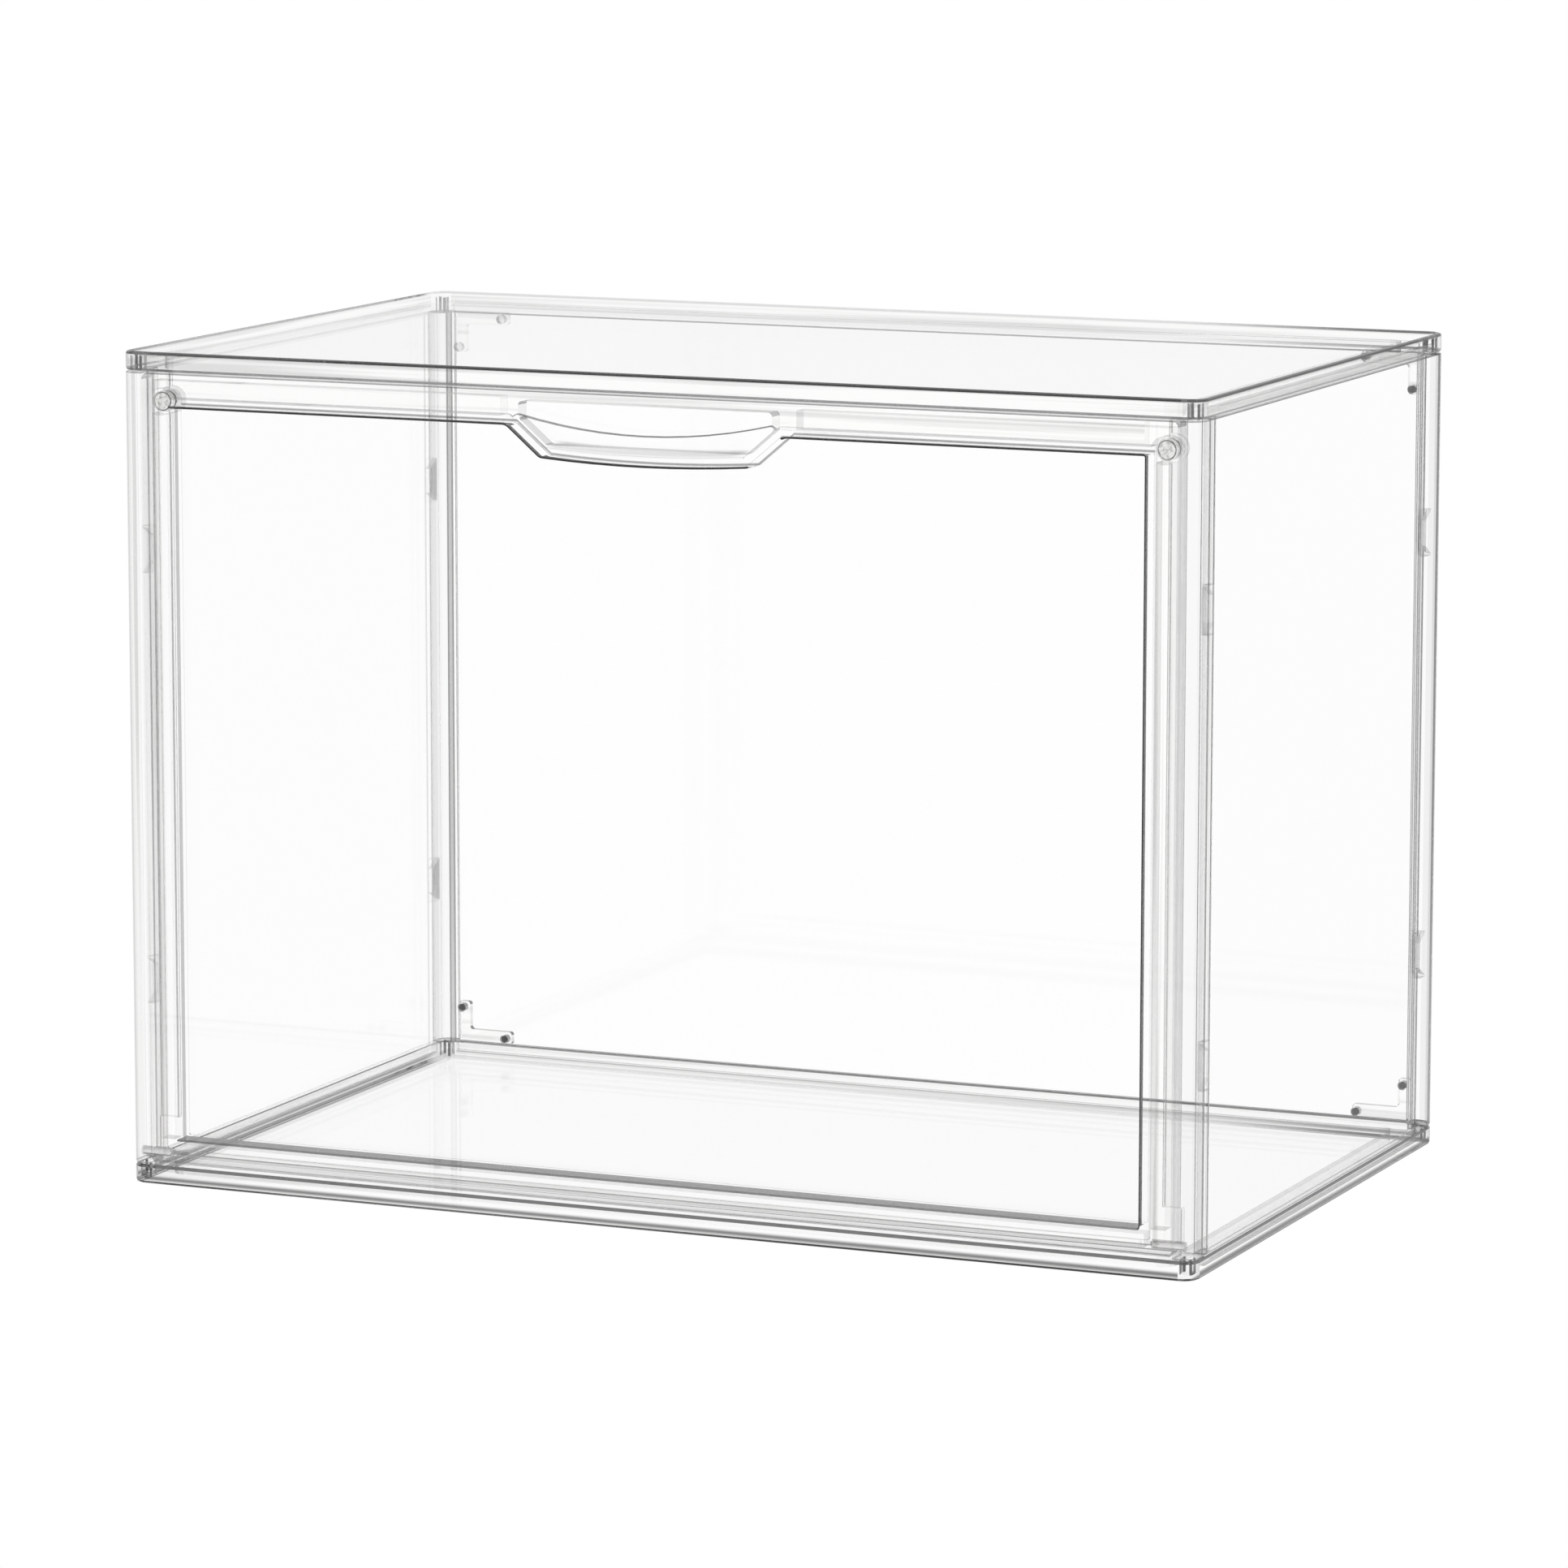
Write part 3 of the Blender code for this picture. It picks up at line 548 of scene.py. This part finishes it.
@dataclass(frozen=True)
class BentFace:
    """Clear plastic on a thin edge, a step or a boss, which bends light and leads it away.

    Part of the light is bent on its way through, and the part that would stay in the plastic and
    leave the edge dark is painted shade, a dark mirror mixed in. Where the painted shade is weak by
    place, more of the light goes straight through.
    """

    name: str
    lighting: PaintedShadeByPlace = PaintedShadeByPlace()
    tint: tuple[float, float, float] = (0.90, 0.90, 0.89)
    straight_tint: tuple[float, float, float] = (0.99, 0.99, 0.99)
    shade: tuple[float, float, float] = (0.05, 0.05, 0.05)
    shade_share: float = 0.48
    refraction: float = 1.49
    roughness: float = 0.02
    shade_roughness: float = 0.25
    ripple_scale: float = 60.0
    ripple_detail: float = 1.0
    ripple_strength: float = 0.03
    ripple_height: float = 0.0002

    def share(self, graph: Graph) -> Value:
        """How much of the light is bent or kept, where the rest goes straight through.

        Args:
            graph: the nodes to add to.

        Returns:
            The bent share.
        """
        return self.lighting.strength(graph)

    def material(self) -> bpy.types.Material:
        """Builds the finish.

        Returns:
            The material.
        """
        made, graph = new_material(self.name)
        ripple = graph.noise(graph.coordinate("Object"), self.ripple_scale, self.ripple_detail)
        lens = graph.node(
            "ShaderNodeBsdfPrincipled",
            inputs={
                "Base Color": (*self.tint, 1.0),
                "Roughness": self.roughness,
                "IOR": self.refraction,
                "Transmission Weight": 1.0,
                "Normal": graph.bump(ripple, self.ripple_strength, self.ripple_height),
            },
        )
        # Painted shade: a dark mirror that stands for the light kept in the plastic.
        dark = graph.metal((*self.shade, 1.0), self.shade_roughness)
        edge = graph.blend(self.shade_share, lens, dark)
        graph.finish(graph.blend(self.share(graph), graph.clear(self.straight_tint), edge))
        return made


@dataclass(frozen=True)
class WallFace(BentFace):
    """Clear plastic on a narrow wall: clear where it is seen square on, and painted shade seen
    along it.
    """

    shade_share: float = 0.30
    clear_below: float = 0.35
    dark_above: float = 1.10

    def share(self, graph: Graph) -> Value:
        """Adds the slant to the share.

        Args:
            graph: the nodes to add to.

        Returns:
            The bent share.
        """
        slant = graph.slant().eased(self.clear_below, self.dark_above)
        return slant * self.lighting.strength(graph)


@dataclass(frozen=True)
class RecessFace(BentFace):
    """The wall of the window's recess: painted shade between two depths, and clear seen square on.

    The rounded edge of the bead in front of it keeps its painted shade from all sides. The depths
    are along Y, so the lower one is nearer to the front.
    """

    shade: tuple[float, float, float] = (0.03, 0.03, 0.03)
    shade_share: float = 0.92
    dark_from: float = -0.1120
    dark_to: float = -0.1040
    soft: float = 0.0003
    strength: float = 1.0
    bead: tuple[float, float] = (-0.1109, -0.1107)
    clear_below: float = 0.15
    dark_above: float = 0.55

    def share(self, graph: Graph) -> Value:
        """Keeps the share to the dark depths.

        Args:
            graph: the nodes to add to.

        Returns:
            The bent share.
        """
        _, y, _ = graph.place()
        slant = graph.slant().eased(self.clear_below, self.dark_above)
        dark = slant.at_least(1.0 - y.eased(*self.bead))
        return self.strength * dark * y.within(self.dark_from, self.dark_to, self.soft)


@dataclass(frozen=True)
class RoundFace:
    """Clear plastic on a wide round: light passes, and painted shade darkens it where it is seen
    edge on.
    """

    name: str
    lighting: PaintedShadeByPlace = PaintedShadeByPlace()
    tint: tuple[float, float, float] = (0.98, 0.98, 0.98)
    shade: tuple[float, float, float] = (0.12, 0.12, 0.12)
    share_seen_square: float = 0.03
    share_seen_flat: float = 0.80
    power: float = 1.5
    roughness: float = 0.05

    def material(self) -> bpy.types.Material:
        """Builds the finish.

        Returns:
            The material.
        """
        made, graph = new_material(self.name)
        rest = self.share_seen_flat - self.share_seen_square
        share = self.share_seen_square + rest * graph.slant() ** self.power
        share = share * self.lighting.strength(graph)
        # Painted shade: a dark mirror, mixed in more where the face is seen edge on.
        gloss = graph.metal((*self.shade, 1.0), self.roughness)
        graph.finish(graph.blend(share, graph.clear(self.tint), gloss))
        return made


@dataclass(frozen=True)
class NickelPlate:
    """The magnets' nickel, with faint grey mottling of painted reflection and a dark ring of
    painted shade.

    Their sides glow with painted light, which stands for what the clear plastic round them leads
    there.
    The bounds of the ring and of the sides are distances from the middle, where the disc's edge is
    at a half.
    """

    name: str = "nickel_plate"
    colour: tuple[float, float, float] = (0.93, 0.93, 0.92)
    reflection_mottle: tuple[float, float, float] = (0.62, 0.62, 0.61)
    rim: tuple[float, float, float] = (0.16, 0.16, 0.16)
    rim_start: tuple[float, float] = (0.415, 0.455)
    rim_end: tuple[float, float] = (0.470, 0.485)
    side: tuple[float, float] = (0.487, 0.496)
    painted_side_glow: tuple[float, float, float] = (0.28, 0.28, 0.28)
    middle: float = 0.5
    dull: float = 0.22
    bright: float = 0.10
    mottle_scale: float = 900.0
    mottle_detail: float = 3.0
    mottle_bounds: tuple[float, float] = (0.45, 0.65)

    def material(self) -> bpy.types.Material:
        """Builds the finish.

        Returns:
            The material.
        """
        made, graph = new_material(self.name)
        mottle = graph.noise(graph.coordinate("Object"), self.mottle_scale, self.mottle_detail)
        roughness = self.bright + (self.dull - self.bright) * mottle
        x, _, z = graph.parts(graph.coordinate("Generated"))
        out = ((x - self.middle) ** 2.0 + (z - self.middle) ** 2.0) ** 0.5
        # Painted reflection: grey patches in the nickel's colour where the mottle is high.
        reflection_mottle = mottle.eased(*self.mottle_bounds)
        plate = graph.colour(reflection_mottle, (*self.colour, 1.0), (*self.reflection_mottle, 1.0))
        # Painted shade: a dark ring near the disc's edge.
        ring = out.eased(*self.rim_start) * (1.0 - out.eased(*self.rim_end))
        tone = graph.colour(ring, plate, (*self.rim, 1.0))
        # Painted light: the sides glow, for the light that the clear plastic leads to them.
        light = graph.colour(out.eased(*self.side), BLACK, (*self.painted_side_glow, 1.0))
        painted_glow = {"Emission Color": light, "Emission Strength": 1.0}
        graph.finish(graph.metal(tone, roughness, painted_glow))
        return made


@dataclass(frozen=True)
class TurnedSteel:
    """The hinge pins' steel, with the fine rings that turning leaves round it."""

    name: str = "turned_steel"
    colour: tuple[float, float, float] = (0.90, 0.90, 0.90)
    roughness: float = 0.22
    ring_scale: float = 5000.0
    ring_waver: float = 1.0
    ring_strength: float = 0.3
    ring_depth: float = 0.00001

    def material(self) -> bpy.types.Material:
        """Builds the finish.

        Returns:
            The material.
        """
        made, graph = new_material(self.name)
        place = graph.coordinate("Object")
        rings = graph.number(
            "ShaderNodeTexWave",
            "Fac",
            settings={"bands_direction": "X"},
            inputs={"Vector": place, "Scale": self.ring_scale, "Distortion": self.ring_waver},
        )
        turned = {"Normal": graph.bump(rings, self.ring_strength, self.ring_depth)}
        graph.finish(graph.metal((*self.colour, 1.0), self.roughness, turned))
        return made


@dataclass(frozen=True)
class Bore:
    """The seat of a magnet or a pin: its middle, the axis it lies along, and its walls' reach."""

    middle: Vector
    axis: int
    reach: float

    def holds(self, spots: list[Vector]) -> bool:
        """Whether all the spots lie within reach of the axis."""
        sides = [i for i in range(3) if i != self.axis]
        middle = [self.middle[i] for i in sides]
        return all(math.dist([spot[i] for i in sides], middle) < self.reach for spot in spots)


@dataclass
class ClearPiece:
    """Sorts the faces of a clear piece by their form, and gives each kind its finish.

    Low and high are the corners of the whole case's box, which tell the outer faces. The window's
    recess, where the piece has one, is told by the plane that its wall ends on, and the rounded
    inner edge of the bead in front of it by the bead's depth. Only a piece with pegs has dots.

    The fields up to pegs differ from piece to piece. The rest are the same for all: a colour, and
    the bounds in metres, square metres and shares of a normal that tell one kind from another.
    """

    low: Vector
    high: Vector
    # rear_left and full set how strong the piece's painted shade is by place.
    rear_left: float = 1.0
    full: float = 1.0
    tint: tuple[float, float, float] = (0.997, 0.998, 0.997)
    line_inset: float = 0.0002
    streak_run: StreakRun = StreakRun.LEVEL
    wall_slant: tuple[float, float] = (0.35, 1.10)
    recess_floor: float | None = None
    bead_foot: float = -0.1107
    bores: tuple[Bore, ...] = ()
    marks: tuple[WindowShadeLine, ...] = ()
    pegs: bool = False

    warm: tuple[float, float, float] = (0.994, 0.992, 0.986)
    on_outside: float = 0.0003
    dot_area: float = 0.000008
    least_broad: float = 0.0120
    widest_rim: float = 0.0400
    least_outer: float = 0.0021
    least_wall: float = 0.0006
    least_round: float = 0.0010
    edge_depth: float = 0.0016
    corner_depth: float = 0.0016
    square_on: float = 0.9995
    turned_from: float = 0.01
    mostly_upright: float = 0.9
    step: float = 0.00002
    turn_step: float = 0.002

    def _bands(self, mesh: bpy.types.Mesh) -> dict[tuple, list[int]]:
        """Gathers the faces that lie in one plane.

        Args:
            mesh: the piece's mesh.

        Returns:
            The faces' numbers for each plane.
        """
        bands: dict[tuple, list[int]] = {}
        for face in mesh.polygons:
            level = round(face.normal.dot(face.center) / self.step)
            turn = tuple(round(part / self.turn_step) for part in face.normal)
            bands.setdefault((level, *turn), []).append(face.index)
        return bands

    def _patches(self, mesh: bpy.types.Mesh, faces: list[int]) -> list[list[int]]:
        """Splits the faces of one plane into patches that hang together.

        Args:
            mesh: the piece's mesh.
            faces: the numbers of the faces in the plane.

        Returns:
            The faces' numbers for each patch.
        """
        def spot(corner: int) -> tuple:
            """Where a corner lies, in steps."""
            return tuple(round(c / self.step) for c in mesh.vertices[corner].co)

        at_spot: dict[tuple, list[int]] = {}
        for number in faces:
            for corner in mesh.polygons[number].vertices:
                at_spot.setdefault(spot(corner), []).append(number)
        left = set(faces)
        patches = []
        while left:
            patch, ahead = [], [left.pop()]
            while ahead:
                number = ahead.pop()
                patch.append(number)
                for corner in mesh.polygons[number].vertices:
                    for beside in at_spot[spot(corner)]:
                        if beside in left:
                            left.remove(beside)
                            ahead.append(beside)
            patches.append(patch)
        return patches

    def dress(self, piece: bpy.types.Object) -> None:
        """Puts the finishes on a piece.

        Args:
            piece: the piece.
        """
        mesh = piece.data
        faces_of: dict[Kind, list[int]] = {}
        for faces in self._bands(mesh).values():
            for patch in self._patches(mesh, faces):
                faces_of.setdefault(self._kind(mesh, patch), []).extend(patch)
        mesh.materials.clear()
        for slot, (kind, faces) in enumerate(faces_of.items()):
            mesh.materials.append(self._finish(kind, f"{piece.name}_{kind.value}").material())
            for number in faces:
                mesh.polygons[number].material_index = slot
        counts = ", ".join(f"{len(faces)} {kind.value}" for kind, faces in faces_of.items())
        log.info("%s: %s", piece.name, counts)

    def _finish(self, kind: Kind, name: str) -> BroadFace | BentFace | RoundFace:
        """The finish that a kind of face takes.

        Args:
            kind: the kind of face.
            name: the material's name.

        Returns:
            The finish.
        """
        lighting = PaintedShadeByPlace(rear_left=self.rear_left, full=self.full)
        line = OuterShadeLine(tuple(self.low), tuple(self.high), inset=self.line_inset)
        low, high = self.wall_slant
        finishes = {
            Kind.BROAD: BroadFace(name, (line, *self.marks), tint=self.tint),
            Kind.RIM: BroadFace(name, (line, Streaks(self.streak_run), *self.marks), tint=self.warm),
            Kind.EDGE: BentFace(name, line.lighting, shade_share=0.55),
            Kind.CORNER: RoundFace(name, lighting, share_seen_flat=0.50, power=1.0),
            Kind.BORE: RoundFace(name, lighting, share_seen_flat=0.60),
            Kind.ROUND: RoundFace(name, lighting),
            Kind.BENT: BentFace(name, lighting),
            Kind.WALL: WallFace(name, lighting, clear_below=low, dark_above=high),
            Kind.DOT: BentFace(name, lighting, shade_share=0.95),
            Kind.RECESS_TOP: RecessFace(name),
            Kind.RECESS_SILL: RecessFace(name, shade_share=0.60, strength=0.90),
            Kind.RECESS_FAR: RecessFace(name, dark_from=-0.1072, strength=0.45),
            Kind.RECESS_NEAR: RecessFace(name, dark_to=-0.1080),
        }
        return finishes[kind]

    def _recess(self, face: bpy.types.MeshPolygon) -> Kind:
        """Which side of the recess a face of its wall or of the bead's inner edge is on."""
        across, _, up = face.normal
        if abs(up) > self.mostly_upright * math.hypot(across, up):
            return Kind.RECESS_TOP if up < 0 else Kind.RECESS_SILL
        return Kind.RECESS_FAR if across > 0 else Kind.RECESS_NEAR

    def _window_kind(self, face: bpy.types.MeshPolygon, deepest: float) -> Kind | None:
        """Which kind of face a face of the window's recess or of its bead is.

        Args:
            face: the face.
            deepest: how far back its patch reaches.

        Returns:
            The kind, or None for a face elsewhere.
        """
        turned = abs(face.normal.y)
        if turned < self.turned_from and abs(deepest - self.recess_floor) < self.step:
            return self._recess(face)
        if self.turned_from < turned < self.square_on and deepest < self.bead_foot:
            inward = (self.low + self.high) / 2 - face.center
            inward.y = 0.0
            return self._recess(face) if face.normal.dot(inward) > 0 else Kind.ROUND
        return None

    def _turned_kind(
        self, face: bpy.types.MeshPolygon, depths: list[list[float]], width: float
    ) -> Kind:
        """Which kind of face a strip of a round is.

        Args:
            face: the face.
            depths: how far it lies from the two sides of the case's box along each axis.
            width: how wide its patch is.

        Returns:
            The kind.
        """
        if sorted(sum(depths, []))[1] < self.edge_depth:
            return Kind.EDGE
        if abs(face.normal.z) < self.turned_from and min(depths[0] + depths[1]) < self.corner_depth:
            return Kind.CORNER
        return Kind.ROUND if width >= self.least_round else Kind.BENT

    def _kind(self, mesh: bpy.types.Mesh, patch: list[int]) -> Kind:
        """Which kind of face a patch is.

        Args:
            mesh: the piece's mesh.
            patch: the numbers of its faces.

        Returns:
            The kind.
        """
        face = mesh.polygons[patch[0]]
        spots = [mesh.vertices[i].co for n in patch for i in mesh.polygons[n].vertices]
        area = sum(mesh.polygons[n].area for n in patch)
        width = area / max(max(axis) - min(axis) for axis in zip(*spots))
        if self.recess_floor is not None:
            kind = self._window_kind(face, max(spot.y for spot in spots))
            if kind is not None:
                return kind
        if any(bore.holds(spots) for bore in self.bores):
            return Kind.BORE
        ends = (self.low, self.high)
        depths = [[abs(face.center[i] - end[i]) for end in ends] for i in range(3)]
        axis = max(range(3), key=lambda i: abs(face.normal[i]))
        if abs(face.normal[axis]) < self.square_on:
            return self._turned_kind(face, depths, width)
        depth = min(depths[axis])
        if depth < self.on_outside and self.least_outer <= width < self.widest_rim:
            return Kind.RIM
        if width >= self.least_broad or (depth < self.least_outer <= width):
            return Kind.BROAD
        if self.pegs and axis == 1 and area < self.dot_area:
            return Kind.DOT
        return Kind.WALL if width >= self.least_wall else Kind.BENT


@dataclass
class Shell:
    """The trays, walls, posts and keys, which stand still."""

    low: Vector
    high: Vector
    bores: tuple[Bore, ...]

    def dress(self) -> None:
        """Gives each piece its own finishes."""
        box = (self.low, self.high)
        upright = {"streak_run": StreakRun.UPRIGHT}
        walls = {"tint": (0.991, 0.991, 0.991), **upright}
        # rear_left and full set how strong each piece's painted shade is.
        sorters = {
            "base_panel": ClearPiece(*box, line_inset=0.0019),
            "top_panel": ClearPiece(*box, rear_left=0.05, full=0.8),
            "back_panel": ClearPiece(*box, rear_left=0.7, wall_slant=(0.10, 0.85), **upright),
            "left_panel": ClearPiece(*box, rear_left=0.25, full=0.6, **walls),
            "right_panel": ClearPiece(*box, full=0.8, **walls),
        }
        for side in Side:
            sorters[f"front_post_{side.word}"] = ClearPiece(
                *box, rear_left=0.6, full=0.6, bores=self.bores, **upright
            )
            sorters[f"corner_key_lower_{side.word}"] = ClearPiece(*box, pegs=True)
            sorters[f"corner_key_upper_{side.word}"] = ClearPiece(*box, rear_left=0.2, pegs=True)
        for name, sorter in sorters.items():
            sorter.dress(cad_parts[name])


@dataclass
class Door:
    """The door, with its window, rim, bead and pull."""

    low: Vector
    high: Vector
    bores: tuple[Bore, ...]
    name: str = "door"
    window_front: float = -0.1050

    def dress(self) -> None:
        """Gives the door its finishes."""
        sorter = ClearPiece(
            self.low,
            self.high,
            rear_left=0.7,
            full=0.7,
            streak_run=StreakRun.MITRED,
            recess_floor=self.window_front,
            bores=self.bores,
            marks=(WindowShadeLine(),),
        )
        sorter.dress(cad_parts[self.name])


@dataclass
class Hardware:
    """The magnets and the hinge pins."""

    magnets: tuple[str, ...] = ("frame_magnet", "door_magnet")
    pins: str = "hinge_pin"
    boss_reach: float = 0.0052
    pin_reach: float = 0.0021

    def bores(self) -> tuple[Bore, ...]:
        """The seats of the magnets, which lie along Y, and of the pins, along X."""
        return tuple(
            Bore(self._middle(f"{stem}_{side.word}"), axis, reach)
            for side in Side
            for stem, axis, reach in (
                (self.magnets[0], 1, self.boss_reach),
                (self.pins, 0, self.pin_reach),
            )
        )

    def _middle(self, name: str) -> Vector:
        """The middle of a piece."""
        spots = [vertex.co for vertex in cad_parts[name].data.vertices]
        return sum(spots, Vector()) / len(spots)

    def dress(self) -> None:
        """Plates the magnets and finishes the pins."""
        nickel = NickelPlate().material()
        steel = TurnedSteel().material()
        for side in Side:
            for stem in self.magnets:
                self._coat(f"{stem}_{side.word}", nickel)
            self._coat(f"{self.pins}_{side.word}", steel)

    def _coat(self, name: str, finish: bpy.types.Material) -> None:
        """Covers one piece with one finish.

        Args:
            name: the piece's name.
            finish: its material.
        """
        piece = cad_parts[name]
        piece.data.materials.clear()
        piece.data.materials.append(finish)
        log.info("%s: %s", name, finish.name)


@dataclass
class Studio:
    """The white floor, the soft light all round, and the camera."""

    floor_reach: float = 30.0
    floor_parts: int = 4
    floor_drop: float = 0.0002
    fade: tuple[float, float] = (0.15, 0.9)
    sky_rise: tuple[float, float] = (0.3, 0.9)
    white: float = 1.0
    rim_light: float = 0.97
    near_light: float = 0.30
    dark_light: float = 0.05
    camera_place: tuple[float, float, float] = (0.901332, -2.090963, 0.482339)
    yaw: float = math.radians(23.3763)
    pitch: float = math.radians(9.0459)
    roll: float = math.radians(0.0498)
    lens: float = 170.2297
    sensor: float = 36.0
    clip: tuple[float, float] = (0.05, 100.0)
    bounces: int = 40
    bent_bounces: int = 32
    mirror_bounces: int = 12
    clear_layers: int = 96

    def _light(self, graph: Graph, dim: Value) -> Value:
        """How bright the stage is, by the way that it is seen.

        Args:
            graph: the nodes to add to.
            dim: how bright it is seen bent.

        Returns:
            White seen directly, the rim light seen in a reflection, and the dim light seen bent.
        """
        seen = graph.number("ShaderNodeLightPath", "Is Camera Ray")
        bent = graph.number("ShaderNodeLightPath", "Is Transmission Ray")
        around = self.rim_light + (dim - self.rim_light) * bent
        return around + (self.white - around) * seen

    def floor(self) -> None:
        """Lays the floor. Seen bent, it darkens away from the case."""
        shape = bmesh.new()
        parts = self.floor_parts
        bmesh.ops.create_grid(shape, x_segments=parts, y_segments=parts, size=self.floor_reach)
        mesh = bpy.data.meshes.new("studio_floor")
        shape.to_mesh(mesh)
        shape.free()
        made = bpy.data.objects.new("studio_floor", mesh)
        made.location = (0.0, 0.0, -self.floor_drop)
        bpy.context.scene.collection.objects.link(made)
        finish, graph = new_material("studio_floor_white")
        place = graph.node("ShaderNodeNewGeometry").outputs["Position"]
        away = graph.number(
            "ShaderNodeVectorMath",
            "Value",
            settings={"operation": "LENGTH"},
            inputs={0: place},
        )
        dim = self.near_light + (self.dark_light - self.near_light) * away.eased(*self.fade)
        light = self._light(graph, dim)
        graph.finish(graph.node("ShaderNodeEmission", inputs={"Strength": light}))
        mesh.materials.append(finish)

    def surroundings(self) -> None:
        """Lights the world: white seen directly, and seen bent, dark but for a bright zenith."""
        world = bpy.data.worlds.new("studio")
        bpy.context.scene.world = world
        world.use_nodes = True
        graph = Graph(world.node_tree)
        _, _, height = graph.parts(graph.coordinate("Generated"))
        up = height.eased(*self.sky_rise)
        dim = self.dark_light + (self.rim_light - self.dark_light) * up
        sky = graph.node("ShaderNodeBackground", inputs={"Strength": self._light(graph, dim)})
        graph.finish(sky, "ShaderNodeOutputWorld")

    def camera(self) -> None:
        """Stands the camera where the photograph was taken from."""
        data = bpy.data.cameras.new("studio_camera")
        data.sensor_width = self.sensor
        data.lens = self.lens
        data.clip_start, data.clip_end = self.clip
        made = bpy.data.objects.new("studio_camera", data)
        ahead = Vector(
            (
                -math.sin(self.yaw) * math.cos(self.pitch),
                math.cos(self.yaw) * math.cos(self.pitch),
                -math.sin(self.pitch),
            )
        )
        level = Vector((math.cos(self.yaw), math.sin(self.yaw), 0.0))
        upright = level.cross(ahead)
        right = math.cos(self.roll) * level + math.sin(self.roll) * upright
        above = math.cos(self.roll) * upright - math.sin(self.roll) * level
        turn = Matrix((right, above, -ahead)).transposed().to_4x4()
        made.matrix_world = Matrix.Translation(self.camera_place) @ turn
        bpy.context.scene.collection.objects.link(made)
        bpy.context.scene.camera = made

    def exposure(self) -> None:
        """Keeps white as white, and lets light pass through every layer of the case."""
        scene = bpy.context.scene
        scene.view_settings.view_transform = "Standard"
        scene.cycles.max_bounces = self.bounces
        scene.cycles.transmission_bounces = self.bent_bounces
        scene.cycles.glossy_bounces = self.mirror_bounces
        scene.cycles.transparent_max_bounces = self.clear_layers


def shell_box() -> tuple[Vector, Vector]:
    """The lowest corner of the base tray and the highest of the top tray."""
    trays = [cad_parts[name] for name in ("base_panel", "top_panel")]
    axes = list(zip(*(vertex.co for tray in trays for vertex in tray.data.vertices)))
    return Vector([min(axis) for axis in axes]), Vector([max(axis) for axis in axes])


def main() -> None:
    """Builds and dresses the case and the studio."""
    logging.basicConfig(level=logging.INFO, format="%(message)s")
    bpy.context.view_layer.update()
    box = shell_box()
    hardware = Hardware()
    bores = hardware.bores()
    Shell(*box, bores).dress()
    Door(*box, bores).dress()
    hardware.dress()
    studio = Studio()
    studio.floor()
    studio.surroundings()
    studio.camera()
    studio.exposure()


if __name__ == "__main__":
    main()
